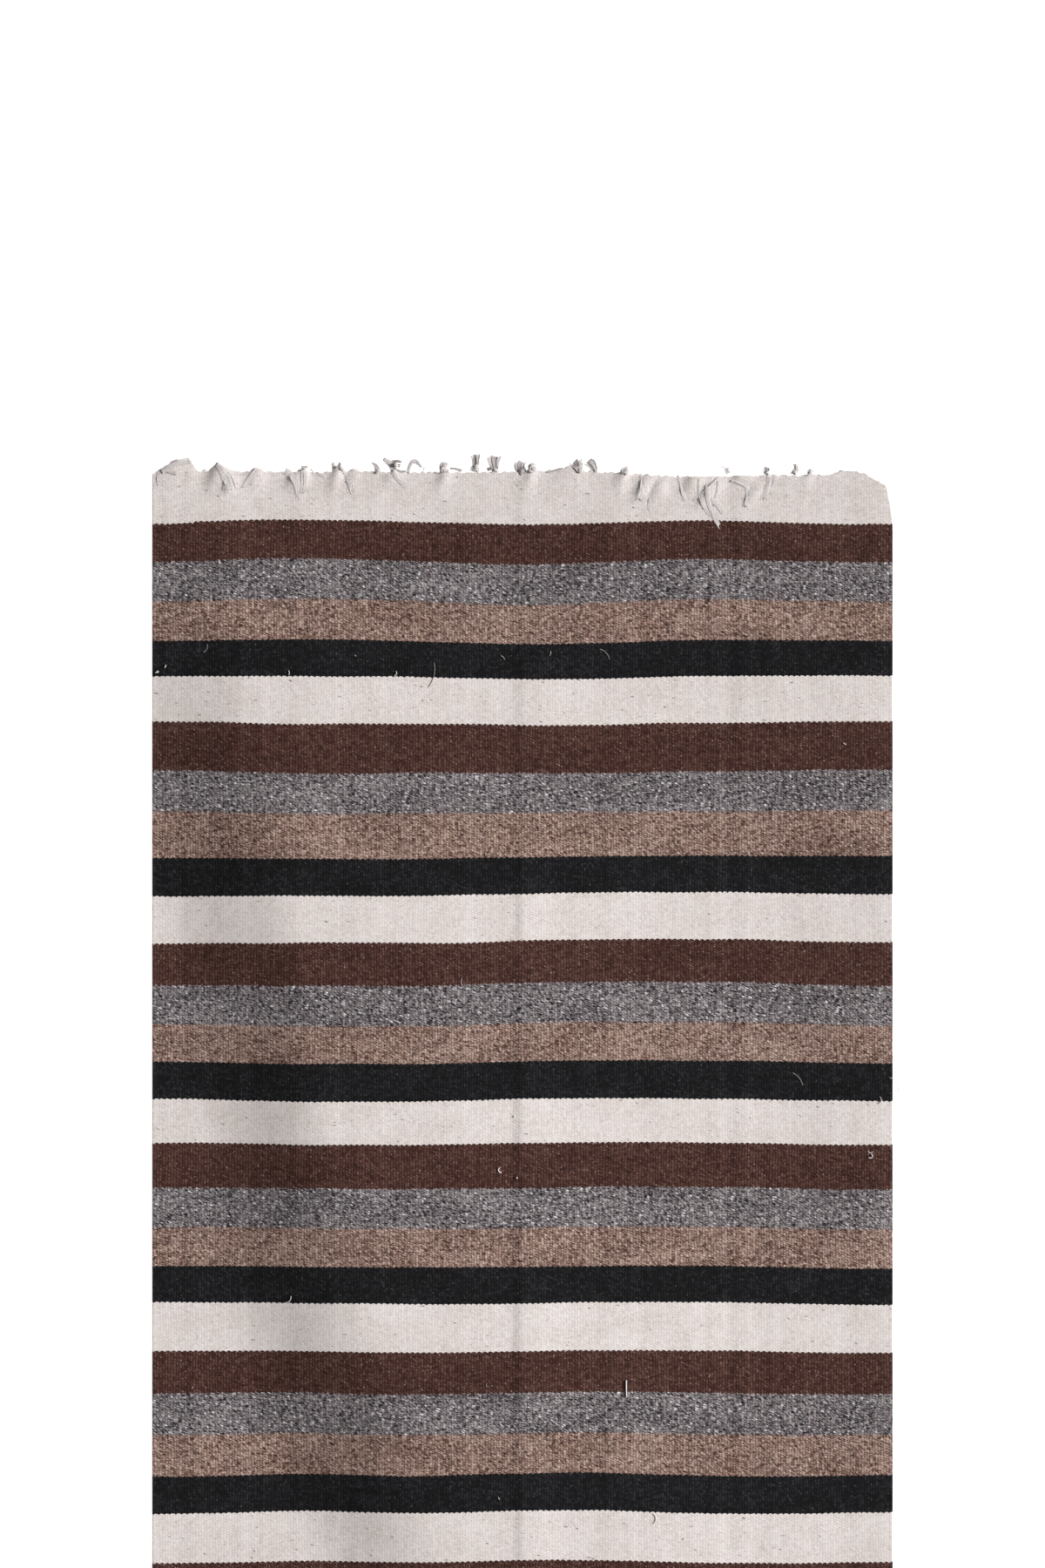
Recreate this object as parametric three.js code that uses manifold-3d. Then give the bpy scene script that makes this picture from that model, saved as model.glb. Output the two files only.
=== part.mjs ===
// Kilim runner: a weft-faced flatweave in one piece, laid out on the floor, with cut and knotted warp
// ends at its head and its foot. The width runs along X and the length along Y, the head is at +Y,
// and the floor is z = 0. All sizes are in millimetres.
import * as THREE from 'three';
import { mergeVertices } from 'three/addons/utils/BufferGeometryUtils.js';
import Module from 'manifold-3d';

const wasm = await Module();
wasm.setup();

// Overall sizes of the runner
const WIDTH = 800;
const LENGTH = 2515;
const CLOTH_THICKNESS = 3;
const HEAD_Y = LENGTH / 2;
const FOOT_Y = -LENGTH / 2;
const SELVEDGE_X = WIDTH / 2;

// The strip of twisted warp ends that closes each end of the cloth, and its gap to the cloth
const STRIP_WIDTH = 5;
const STRIP_GAP = 0.3;

// Fineness of the cloth's surface
const COLUMNS_ACROSS = 32;
const ROWS_ALONG = 36;

// The head's edge: how far it falls back from the head line at each place across
const HEAD_EDGE = [
  { across: -400, drop: 3 },
  { across: -370, drop: 1 },
  { across: -263, drop: 2 },
  { across: -220, drop: 3 },
  { across: -180, drop: 1 },
  { across: -130, drop: 3 },
  { across: -10, drop: 2 },
  { across: 50, drop: 0 },
  { across: 94, drop: 3 },
  { across: 160, drop: 7 },
  { across: 263, drop: 6 },
  { across: 325, drop: 6 },
  { across: 348, drop: 1 },
  { across: 366, drop: 1.5 },
  { across: 392, drop: 16 },
];

// The worn corner at the head's right: how far the selvedge is drawn in at each place along
const DRAWN_CORNER = [
  { along: 16, inset: 8 },
  { along: 21, inset: 6 },
  { along: 40, inset: 2 },
  { along: 56, inset: 0 },
];

// The long ripple that crosses the cloth at a slant: where its crest lies and how high it stands
const RIPPLE = [
  { along: 30, crest: -300, height: 0 },
  { along: 150, crest: -290, height: 4 },
  { along: 250, crest: -278, height: 8.5 },
  { along: 480, crest: -243, height: 13 },
  { along: 700, crest: -205, height: 14 },
  { along: 930, crest: -168, height: 14 },
  { along: 1150, crest: -96, height: 12 },
  { along: 1500, crest: -30, height: 10 },
  { along: 1900, crest: 40, height: 6 },
  { along: 2350, crest: 100, height: 0 },
];
const RIPPLE_CLIMB = 150;
const RIPPLE_FALL = 560;

// The warp ends: yarn size, spacing in a tuft, and how far their roots reach into the strip
const YARN_SIZE = 1.2;
const YARN_PITCH = 1.75;
const ROOT_DEPTH = 3;
const YARN_CLEARANCE = 0.4;
const TURNED_STEP = 20;
const FLOOR_LEVEL = 0;
const OUTWARD = 90;

// Tufts of the head that lie out on the floor. They leave the edge straight by out, then run on in
// the direction of heading, counted from +X. fan is the turn from one yarn to its right neighbour.
const OPEN_TUFTS = [
  { across: -389, yarns: 3, out: 7, heading: 14, run: 34, fan: -2 },
  { across: -160, yarns: 2, out: 4, heading: 104, run: 5, fan: -6 },
  { across: -137, yarns: 3, out: 6, heading: 152, run: 17, fan: -4 },
  { across: -122, yarns: 3, out: 6, heading: 34, run: 13, fan: -4 },
  { across: -84, yarns: 4, out: 4, heading: 94, run: 8, fan: -4 },
  { across: -74, yarns: 2, out: 3, heading: 12, run: 12, fan: -3 },
  { across: -50, yarns: 5, out: 6, heading: 90, run: 14, fan: -7 },
  { across: -30, yarns: 6, out: 5, heading: 88, run: 12, fan: -9 },
  { across: -8, yarns: 4, out: 5, heading: 50, run: 11, fan: -6 },
  { across: 11, yarns: 3, out: 4, heading: 90, run: 6, fan: -6 },
  { across: 20, yarns: 1, out: 2, heading: 18, run: 27, fan: 0 },
  { across: 56, yarns: 4, out: 4, heading: 45, run: 12, fan: -6 },
  { across: 79, yarns: 2, out: 5, heading: 98, run: 9, fan: -6 },
  { across: 110, yarns: 4, out: 4, heading: 78, run: 8, fan: -5 },
  { across: 221, yarns: 1, out: 5, heading: 120, run: 8, fan: 0 },
  { across: 292, yarns: 2, out: 5, heading: 84, run: 8, fan: -8 },
  { across: 311, yarns: 2, out: 4, heading: 90, run: 3, fan: -6 },
];

// Tufts of the head that are turned back over the cloth, with the same columns
const TURNED_TUFTS = [
  { across: -330, yarns: 4, out: 10, heading: -62, run: 36, fan: 2 },
  { across: -283, yarns: 3, out: 5, heading: -136, run: 27, fan: 4 },
  { across: -254, yarns: 3, out: 4, heading: -69, run: 32, fan: 1 },
  { across: -236, yarns: 4, out: 7, heading: -88, run: 26, fan: 1 },
  { across: -224, yarns: 2, out: 4, heading: -24, run: 17, fan: 5 },
  { across: -202, yarns: 3, out: 9, heading: -64, run: 36, fan: 2 },
  { across: -130, yarns: 1, out: 4, heading: -68, run: 23, fan: 0 },
  { across: 128, yarns: 4, out: 4, heading: -93, run: 32, fan: 3 },
  { across: 145, yarns: 2, out: 4, heading: -101, run: 42, fan: 4 },
  { across: 170, yarns: 2, out: 4, heading: -78, run: 36, fan: 4 },
  { across: 196, yarns: 5, out: 4, heading: -74, run: 58, fan: 5 },
  { across: 229, yarns: 3, out: 4, heading: -28, run: 20, fan: 5 },
  { across: 254, yarns: 1, out: 4, heading: -86, run: 36, fan: 0 },
  { across: 264, yarns: 3, out: 5, heading: -92, run: 34, fan: 4 },
];

// Tufts of the foot: a plain even row that lies out on the floor
const FOOT_TUFTS = 30;
const FOOT_TUFT_YARNS = 3;
const FOOT_TUFT_FAN = 9;
const FOOT_YARN_OUT = 5;
const FOOT_YARN_RUN = 13;
const FOOT_LEAN = 9;
const FOOT_LEAN_STEP = 2.4;

// Colours: the mean of the cloth's bands, and the undyed warp yarn
const CLOTH_COLOUR = 0x7d716e;
const YARN_COLOUR = 0xcfc7c3;
const WOOL_ROUGHNESS = 0.95;

// Value of one column of a table at a place given by another column, in straight runs
function lookUp(table, key, column, place) {
  const last = table.length - 1;
  if (place <= table[0][key]) {
    return table[0][column];
  }
  if (place >= table[last][key]) {
    return table[last][column];
  }
  const next = table.findIndex((row) => row[key] >= place);
  const from = table[next - 1];
  const to = table[next];
  const share = (place - from[key]) / (to[key] - from[key]);
  return THREE.MathUtils.lerp(from[column], to[column], share);
}

// Height of the cloth's underside over the floor
function rippleHeight(x, y) {
  const along = HEAD_Y - y;
  const crest = lookUp(RIPPLE, 'along', 'crest', along);
  const height = lookUp(RIPPLE, 'along', 'height', along);
  const reach = x < crest ? RIPPLE_CLIMB : RIPPLE_FALL;
  const share = THREE.MathUtils.clamp(1 - Math.abs(x - crest) / reach, 0, 1);
  return height * THREE.MathUtils.smoothstep(share, 0, 1);
}

// A point on the line that runs behind the head's edge by back, at a share of the width
function headPoint(share, back) {
  const cornerAlong = lookUp(HEAD_EDGE, 'across', 'drop', SELVEDGE_X) + back;
  const right = SELVEDGE_X - lookUp(DRAWN_CORNER, 'along', 'inset', cornerAlong);
  const x = THREE.MathUtils.lerp(-SELVEDGE_X, right, share);
  const y = HEAD_Y - lookUp(HEAD_EDGE, 'across', 'drop', x) - back;
  return new THREE.Vector2(x, y);
}

// A point on the line that runs behind the foot's straight edge by back
function footPoint(share, back) {
  const x = THREE.MathUtils.lerp(-SELVEDGE_X, SELVEDGE_X, share);
  return new THREE.Vector2(x, FOOT_Y + back);
}

// A closed sheet from a grid of plan points, with its underside at the height that floorOf gives
function sheetGeometry(grid, floorOf) {
  const rows = grid.length;
  const columns = grid[0].length;
  const positions = [];
  const faces = [];
  for (const level of [CLOTH_THICKNESS, 0]) {
    for (const row of grid) {
      for (const point of row) {
        positions.push(point.x, point.y, floorOf(point.x, point.y) + level);
      }
    }
  }
  const top = (row, column) => row * columns + column;
  const under = (row, column) => rows * columns + top(row, column);
  const quad = (a, b, c, d) => faces.push(a, b, c, a, c, d);
  for (let row = 0; row < rows - 1; row += 1) {
    for (let column = 0; column < columns - 1; column += 1) {
      const below = row + 1;
      const right = column + 1;
      quad(top(row, column), top(below, column), top(below, right), top(row, right));
      quad(under(row, column), under(row, right), under(below, right), under(below, column));
    }
  }
  const lastRow = rows - 1;
  const lastColumn = columns - 1;
  for (let column = 0; column < lastColumn; column += 1) {
    const right = column + 1;
    quad(top(0, column), top(0, right), under(0, right), under(0, column));
    quad(top(lastRow, right), top(lastRow, column), under(lastRow, column), under(lastRow, right));
  }
  for (let row = 0; row < lastRow; row += 1) {
    const below = row + 1;
    quad(top(below, 0), top(row, 0), under(row, 0), under(below, 0));
    quad(top(row, lastColumn), top(below, lastColumn), under(below, lastColumn), under(row, lastColumn));
  }
  const geometry = new THREE.BufferGeometry();
  geometry.setAttribute('position', new THREE.Float32BufferAttribute(positions, 3));
  geometry.setIndex(faces);
  return geometry;
}

// The plan of the cloth, from the head's strip to the foot's strip
function clothGrid() {
  const grid = [];
  const behind = STRIP_WIDTH + STRIP_GAP;
  const cornerRows = DRAWN_CORNER.filter((row) => row.along > DRAWN_CORNER[1].along);
  const startAlong = lookUp(HEAD_EDGE, 'across', 'drop', SELVEDGE_X) + behind;
  const endAlong = LENGTH - behind;
  const alongs = [startAlong, ...cornerRows.map((row) => row.along)];
  const lastCorner = alongs[alongs.length - 1];
  for (let row = 1; row <= ROWS_ALONG; row += 1) {
    alongs.push(THREE.MathUtils.lerp(lastCorner, endAlong, row / ROWS_ALONG));
  }
  for (const along of alongs) {
    const line = [];
    const evened = THREE.MathUtils.clamp((along - startAlong) / (lastCorner - startAlong), 0, 1);
    const right = SELVEDGE_X - lookUp(DRAWN_CORNER, 'along', 'inset', along);
    for (let column = 0; column <= COLUMNS_ACROSS; column += 1) {
      const share = column / COLUMNS_ACROSS;
      const x = THREE.MathUtils.lerp(-SELVEDGE_X, right, share);
      const edgeY = headPoint(share, behind).y - (along - startAlong) * (1 - evened);
      const y = THREE.MathUtils.lerp(edgeY, HEAD_Y - along, evened);
      line.push(new THREE.Vector2(x, y));
    }
    grid.push(line);
  }
  return grid;
}

// The plan of a closing strip between the edge of an end and the line that runs behind it
function stripGrid(pointOf) {
  const lines = [0, STRIP_WIDTH].map((back) => {
    const line = [];
    for (let column = 0; column <= COLUMNS_ACROSS; column += 1) {
      line.push(pointOf(column / COLUMNS_ACROSS, back));
    }
    return line;
  });
  return lines[0][0].y > lines[1][0].y ? lines : lines.reverse();
}

// A closed solid for the boolean operations, and back again
function toSolid(geometry) {
  const bare = geometry.clone();
  bare.deleteAttribute('normal');
  bare.deleteAttribute('uv');
  const merged = mergeVertices(bare);
  const mesh = new wasm.Mesh({
    numProp: 3,
    vertProperties: Float32Array.from(merged.attributes.position.array),
    triVerts: Uint32Array.from(merged.index.array),
  });
  return new wasm.Manifold(mesh);
}

function toGeometry(solid) {
  const mesh = solid.getMesh();
  const geometry = new THREE.BufferGeometry();
  geometry.setAttribute('position', new THREE.Float32BufferAttribute(mesh.vertProperties, mesh.numProp));
  geometry.setIndex(Array.from(mesh.triVerts));
  geometry.computeVertexNormals();
  return geometry;
}

// Sections of a yarn, around its centre line: flat-bottomed, as it lies
const HALF_YARN = YARN_SIZE / 2;
const LYING_SECTION = [
  new THREE.Vector2(-HALF_YARN, -HALF_YARN),
  new THREE.Vector2(HALF_YARN, -HALF_YARN),
  new THREE.Vector2(0, HALF_YARN),
];
const TURNED_SECTION = [
  new THREE.Vector2(-HALF_YARN, -HALF_YARN),
  new THREE.Vector2(HALF_YARN, -HALF_YARN),
  new THREE.Vector2(HALF_YARN, HALF_YARN),
  new THREE.Vector2(-HALF_YARN, HALF_YARN),
];

// A section carried along a path without twisting
function yarnGeometry(path, section) {
  const positions = [];
  const faces = [];
  const sides = section.length;
  const last = path.length - 1;
  let upright = new THREE.Vector3(0, 0, 1);
  let before = null;
  path.forEach((point, index) => {
    const ahead = path[Math.min(index + 1, last)];
    const behind = path[Math.max(index - 1, 0)];
    const direction = ahead.clone().sub(behind).normalize();
    if (before !== null) {
      upright.applyQuaternion(new THREE.Quaternion().setFromUnitVectors(before, direction));
    }
    before = direction;
    const sideways = direction.clone().cross(upright).normalize();
    upright = sideways.clone().cross(direction).normalize();
    for (const corner of section) {
      const place = point.clone();
      place.addScaledVector(sideways, corner.x);
      place.addScaledVector(upright, corner.y);
      positions.push(place.x, place.y, place.z);
    }
  });
  for (let ring = 0; ring < last; ring += 1) {
    for (let side = 0; side < sides; side += 1) {
      const next = (side + 1) % sides;
      const a = ring * sides + side;
      const b = ring * sides + next;
      faces.push(a, b + sides, b, a, a + sides, b + sides);
    }
  }
  for (let side = 1; side < sides - 1; side += 1) {
    const end = last * sides;
    faces.push(0, side, side + 1);
    faces.push(end, end + side + 1, end + side);
  }
  const geometry = new THREE.BufferGeometry();
  geometry.setAttribute('position', new THREE.Float32BufferAttribute(positions, 3));
  geometry.setIndex(faces);
  return geometry;
}

// Plan direction of a heading, as a vector
function headingVector(degrees) {
  const angle = THREE.MathUtils.degToRad(degrees);
  return new THREE.Vector3(Math.cos(angle), Math.sin(angle), 0);
}

// The yarns of a tuft, as places across the edge, headings and lengths. The yarns on the side that
// the tuft turns to leave the edge by less, so that the bent yarns lie beside one another.
function yarnsOf(tuft) {
  const yarns = [];
  const direction = headingVector(tuft.heading);
  const nesting = -Math.sign(direction.y) * direction.x;
  for (let index = 0; index < tuft.yarns; index += 1) {
    const offset = index - (tuft.yarns - 1) / 2;
    yarns.push({
      across: tuft.across + offset * YARN_PITCH,
      out: tuft.out + offset * YARN_PITCH * nesting,
      heading: tuft.heading + offset * tuft.fan,
      run: tuft.run,
    });
  }
  return yarns;
}

// The path of a yarn that lies out on the floor, from its root in the strip
function openPath(edgeY, outward, yarn) {
  const level = FLOOR_LEVEL + HALF_YARN;
  const straight = headingVector(outward);
  const turned = headingVector(yarn.heading);
  const halfWay = straight.clone().add(turned).normalize();
  const root = new THREE.Vector3(yarn.across, edgeY, level).addScaledVector(straight, -ROOT_DEPTH);
  const bend = new THREE.Vector3(yarn.across, edgeY, level).addScaledVector(straight, yarn.out);
  const bendEnd = bend.clone().addScaledVector(halfWay, YARN_PITCH);
  const tip = bendEnd.clone().addScaledVector(turned, yarn.run - YARN_PITCH);
  return [root, bend, bendEnd, tip];
}

// The path of a yarn that leaves the edge, rises, and is laid back over the cloth
function turnedPath(edgeY, yarn) {
  const low = CLOTH_THICKNESS / 2 - HALF_YARN;
  const high = CLOTH_THICKNESS + YARN_CLEARANCE + HALF_YARN;
  const middle = (low + high) / 2;
  const turned = headingVector(yarn.heading);
  const crest = new THREE.Vector3(yarn.across, edgeY + yarn.out, middle);
  const path = [
    new THREE.Vector3(yarn.across, edgeY - ROOT_DEPTH, low),
    new THREE.Vector3(yarn.across, edgeY + yarn.out - YARN_PITCH, low),
    crest,
  ];
  const steps = Math.ceil(yarn.run / TURNED_STEP);
  const start = crest.clone().addScaledVector(turned, YARN_PITCH);
  for (let step = 0; step <= steps; step += 1) {
    const place = start.clone().addScaledVector(turned, (yarn.run - YARN_PITCH) * step / steps);
    place.z = high + rippleHeight(place.x, place.y);
    path.push(place);
  }
  return path;
}

// A strip with its yarns, as one body
function fringeGeometry(grid, yarnGeometries) {
  let body = toSolid(sheetGeometry(grid, () => FLOOR_LEVEL));
  for (const geometry of yarnGeometries) {
    body = body.add(toSolid(geometry));
  }
  return toGeometry(body);
}

function headEdgeY(x) {
  return HEAD_Y - lookUp(HEAD_EDGE, 'across', 'drop', x);
}

function headYarns() {
  const geometries = [];
  for (const tuft of OPEN_TUFTS) {
    for (const yarn of yarnsOf(tuft)) {
      const path = openPath(headEdgeY(yarn.across), OUTWARD, yarn);
      geometries.push(yarnGeometry(path, LYING_SECTION));
    }
  }
  for (const tuft of TURNED_TUFTS) {
    for (const yarn of yarnsOf(tuft)) {
      const path = turnedPath(headEdgeY(yarn.across), yarn);
      geometries.push(yarnGeometry(path, TURNED_SECTION));
    }
  }
  return geometries;
}

function footYarns() {
  const geometries = [];
  for (let index = 0; index < FOOT_TUFTS; index += 1) {
    const tuft = {
      across: WIDTH * ((index + 0.5) / FOOT_TUFTS) - SELVEDGE_X,
      yarns: FOOT_TUFT_YARNS,
      out: FOOT_YARN_OUT,
      heading: -OUTWARD + FOOT_LEAN * Math.sin(index * FOOT_LEAN_STEP),
      run: FOOT_YARN_RUN,
      fan: FOOT_TUFT_FAN,
    };
    for (const yarn of yarnsOf(tuft)) {
      geometries.push(yarnGeometry(openPath(FOOT_Y, -OUTWARD, yarn), LYING_SECTION));
    }
  }
  return geometries;
}

function namedMesh(name, geometry, colour) {
  const material = new THREE.MeshStandardMaterial({
    color: colour,
    roughness: WOOL_ROUGHNESS,
    metalness: 0,
  });
  const mesh = new THREE.Mesh(geometry, material);
  mesh.name = name;
  return mesh;
}

const runner = new THREE.Group();
runner.name = 'kilim_runner';
runner.add(namedMesh('runner_cloth', sheetGeometry(clothGrid(), rippleHeight), CLOTH_COLOUR));
runner.add(namedMesh('fringe_head', fringeGeometry(stripGrid(headPoint), headYarns()), YARN_COLOUR));
runner.add(namedMesh('fringe_foot', fringeGeometry(stripGrid(footPoint), footYarns()), YARN_COLOUR));

export default runner;
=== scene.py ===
import math
import random

import bpy
import numpy as np
from mathutils import Euler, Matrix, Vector, noise


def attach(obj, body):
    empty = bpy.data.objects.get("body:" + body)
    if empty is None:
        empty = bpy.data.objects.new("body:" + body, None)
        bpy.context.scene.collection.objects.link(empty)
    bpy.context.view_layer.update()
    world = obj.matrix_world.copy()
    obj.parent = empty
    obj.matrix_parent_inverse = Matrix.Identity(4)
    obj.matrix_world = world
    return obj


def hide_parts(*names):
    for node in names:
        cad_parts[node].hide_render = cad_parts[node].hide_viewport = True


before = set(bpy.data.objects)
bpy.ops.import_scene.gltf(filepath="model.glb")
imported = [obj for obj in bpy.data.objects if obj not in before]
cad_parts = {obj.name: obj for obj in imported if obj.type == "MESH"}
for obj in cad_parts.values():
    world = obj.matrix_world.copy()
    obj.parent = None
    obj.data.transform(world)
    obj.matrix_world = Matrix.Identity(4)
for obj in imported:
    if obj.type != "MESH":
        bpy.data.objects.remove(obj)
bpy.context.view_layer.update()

# The camera looks straight down on the runner's head end from well above, as the photograph does.
# The head's edge lies a third of the way down the picture, and the foot runs out at the bottom.
# Sizes are in metres, but for those that a comment gives in millimetres.
CLOTH_LENGTH = 2.515
HEAD_LINE = CLOTH_LENGTH / 2
SIGHT_HEIGHT = 4.706
PICTURE_CENTRE = 0.3388
LENS = 100


def placed(name, data):
    """A new object of some data, put in the scene."""
    made = bpy.data.objects.new(name, data)
    bpy.context.scene.collection.objects.link(made)
    return made


camera = placed("camera", bpy.data.cameras.new("eye"))
camera.data.lens = LENS
camera.location = (0, HEAD_LINE - PICTURE_CENTRE, SIGHT_HEIGHT)
bpy.context.scene.camera = camera
bpy.context.scene.view_settings.view_transform = "Standard"

# The floor is a white studio floor, faintly lit from below. A large soft light far to the right is low
# enough to show the runner's ripples. A soft spot from the same side lightens its middle, and an even
# pale surround fills the shadows.
FLOOR_SIZE = 40
FLOOR_GLOW = 0.78
FLOOR_SHADES = [(250, 250, 250), (253, 253, 253)]
FLOOR_CLOUDS = 1.3
MATT_ROUGHNESS = 0.9
MATT_SPECULAR = 0.1
LAMP_TURN = (math.radians(70), 0, math.radians(97))
LAMP_SPREAD = math.radians(24)
LAMP_POWER = 6.65
FILL_POWER = 900
FILL_SPREAD = math.radians(22)
FILL_TARGET = (0.24, 0.2, 0)
FILL_DISTANCE = 6.4
SURROUND = 0.26
WHITE = (1, 1, 1, 1)


def wire(tree, kind, inputs=None, **settings):
    """A new node of a kind. Its inputs are given values, or other nodes' outputs to link to."""
    made = tree.nodes.new(kind)
    for name, value in settings.items():
        setattr(made, name, value)
    for name, value in (inputs or {}).items():
        if isinstance(value, bpy.types.NodeSocket):
            tree.links.new(value, made.inputs[name])
        else:
            made.inputs[name].default_value = value
    return made


def blended(tree, share, first, second, way="MIX"):
    """Two colours mixed by a share from 0 to 1."""
    inputs = {0: share, 6: first, 7: second}
    node = wire(tree, "ShaderNodeMix", inputs, data_type="RGBA", blend_type=way)
    return node.outputs[2]


def matt_material(name, finish):
    """A material with a matt surface, its node tree and its surface shader."""
    material = bpy.data.materials.new(name)
    material.use_nodes = True
    tree = material.node_tree
    surface = tree.nodes["Principled BSDF"]
    finish = {"Roughness": MATT_ROUGHNESS, "Specular IOR Level": MATT_SPECULAR, **finish}
    for part, value in finish.items():
        surface.inputs[part].default_value = value
    return material, tree, surface


def shade(red, green, blue, alpha=1.0):
    """The linear colour of a shade as a picture shows it, each part from 0 to 255."""
    parts = [red / 255, green / 255, blue / 255]
    linear = [c / 12.92 if c <= 0.04045 else ((c + 0.055) / 1.055) ** 2.4 for c in parts]
    return (*linear, alpha)


def lamp(name, kind, power):
    """A lamp that shines across the runner from the right."""
    made = placed(name, bpy.data.lights.new(name, kind))
    made.data.energy = power
    made.rotation_euler = LAMP_TURN
    return made


bpy.ops.object.select_all(action="DESELECT")
bpy.ops.mesh.primitive_plane_add(size=FLOOR_SIZE, location=(0, 0, 0))
floor = bpy.context.object
floor.name = "floor"
glow = {"Emission Color": WHITE, "Emission Strength": FLOOR_GLOW}
floor_paint, tree, surface = matt_material("floor_paint", glow)
places = wire(tree, "ShaderNodeTexCoord").outputs["Object"]
cloudy = wire(tree, "ShaderNodeTexNoise", {"Vector": places, "Scale": FLOOR_CLOUDS, "Detail": 3.0})
dim, bright = (shade(*parts) for parts in FLOOR_SHADES)
tinted = blended(tree, cloudy.outputs["Fac"], dim, bright)
tree.links.new(tinted, surface.inputs["Base Color"])
floor.data.materials.append(floor_paint)

soft_light = lamp("soft_light", "SUN", LAMP_POWER)
soft_light.data.angle = LAMP_SPREAD
fill_light = lamp("fill_light", "SPOT", FILL_POWER)
fill_light.data.spot_size = FILL_SPREAD
fill_light.data.spot_blend = 1.0
fill_light.data.shadow_soft_size = math.tan(LAMP_SPREAD / 2) * FILL_DISTANCE
fill_light.location = Vector(FILL_TARGET) + Euler(LAMP_TURN).to_matrix() @ Vector((0, 0, FILL_DISTANCE))

world = bpy.data.worlds.new("surround")
bpy.context.scene.world = world
world.use_nodes = True
sky = world.node_tree.nodes["Background"]
sky.inputs["Color"].default_value = WHITE
sky.inputs["Strength"].default_value = SURROUND

# The cloth is one piece of weft-faced wool weave with plain selvedges. Thick weft yarns of five shades
# are beaten down over hidden warps, a band of each in turn, and nothing is sewn to it. It lies flat
# but for a long low ripple that crosses it at a slant and a soft crease down its middle.
CLOTH_WIDTH = 0.800
CLOTH_THICKNESS = 0.003


def table(columns, *rows):
    """The rows of a table, each with the names of its columns."""
    return [dict(zip(columns, row, strict=True)) for row in rows]


# How the sheet is divided: rows along and columns across, closer at the head. The steps on its rounded
# edges are shares of their rounding.
ROWS = 168
COLUMNS = 236
HEAD_ROWS = 12
HEAD_ROWS_START = 0.004
HEAD_ROWS_END = 0.045
EDGE_ROWS_END = 0.003
ROW_CLEARANCE = 0.006
EDGE_ROUNDING = 0.0007
ROUNDING_STEPS = (0, 0.12, 0.4, 1.0)
INNER_START = 1.5

# How far the head's edge falls back from the head line, at each place across
HEAD_EDGE = table(
    ("across", "drop"),
    (-0.400, 0.003),
    (-0.370, 0.001),
    (-0.263, 0.002),
    (-0.220, 0.003),
    (-0.180, 0.001),
    (-0.130, 0.003),
    (-0.010, 0.002),
    (0.050, 0.000),
    (0.094, 0.003),
    (0.160, 0.007),
    (0.263, 0.006),
    (0.325, 0.006),
    (0.348, 0.001),
    (0.366, 0.0015),
    (0.392, 0.016),
)

# How far the worn corner at the head's right is drawn in, at each place along
DRAWN_CORNER = table(
    ("along", "inset"),
    (0.016, 0.008),
    (0.021, 0.006),
    (0.040, 0.002),
    (0.056, 0.000),
)

# Peaks that the knots pull the head's edge up into: how far each stands out past the edge, how far it
# reaches to its left and right, and how high its fold lifts off the floor
PEAKS = table(
    ("across", "out", "left", "right", "lift"),
    (-0.378, 0.0040, 0.020, 0.020, 0.0006),
    (-0.358, 0.0115, 0.046, 0.008, 0.0006),
    (-0.329, 0.0075, 0.012, 0.024, 0.0026),
    (-0.286, 0.0035, 0.016, 0.012, 0.0014),
    (-0.236, 0.0020, 0.014, 0.010, 0.0012),
    (-0.199, 0.0060, 0.009, 0.009, 0.0018),
    (-0.182, 0.0022, 0.008, 0.010, 0.0008),
    (-0.084, 0.0045, 0.008, 0.007, 0.0014),
    (0.011, 0.0045, 0.010, 0.007, 0.0014),
    (0.055, 0.0040, 0.034, 0.016, 0.0010),
    (0.112, 0.0055, 0.012, 0.005, 0.0020),
    (0.311, 0.0020, 0.007, 0.007, 0.0008),
)
FOLD_LENGTH = 0.036
FOLD_LEAN = 0.25
FOLD_SPREAD = 0.8

# How far the last wefts at both ends have worked in and out, and how soon that dies away
RAGGED_EDGE = 0.0024
RAGGED_SPACING = 0.0055
RAGGED_HEAD = 8.1
RAGGED_FOOT = 21.4
EDGE_FADE = 0.12

# Small puckers of the cloth behind the pulled warp ends: where each lies, how far it reaches across
# and along, and how high it lifts
PUCKERS = table(
    ("across", "along", "wide", "long", "lift"),
    (0.128, 0.020, 0.011, 0.022, 0.0019),
    (0.147, 0.020, 0.009, 0.020, 0.0015),
    (0.183, 0.012, 0.014, 0.020, 0.0019),
    (0.198, 0.026, 0.010, 0.024, 0.0017),
    (0.236, 0.006, 0.014, 0.011, 0.0015),
    (0.248, 0.026, 0.009, 0.018, 0.0013),
    (-0.318, 0.016, 0.012, 0.018, 0.0014),
    (-0.248, 0.010, 0.012, 0.016, 0.0016),
    (-0.144, 0.008, 0.012, 0.010, 0.0015),
    (-0.082, 0.008, 0.008, 0.012, 0.0008),
)
PUCKER_LEAN = 0.55
PUCKER_STEEP_SIDE = 0.7
PUCKER_GENTLE_SIDE = 1.8

# The slanting ripple: where its crest lies and how high it stands
RIPPLE = table(
    ("along", "crest", "height"),
    (0.030, -0.300, 0.000),
    (0.150, -0.290, 0.004),
    (0.250, -0.278, 0.0085),
    (0.480, -0.243, 0.013),
    (0.700, -0.205, 0.014),
    (0.930, -0.168, 0.014),
    (1.150, -0.096, 0.012),
    (1.500, -0.030, 0.010),
    (1.900, 0.040, 0.006),
    (2.350, 0.100, 0.000),
)
RIPPLE_CLIMB = 0.150
RIPPLE_FALL = 0.560

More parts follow.
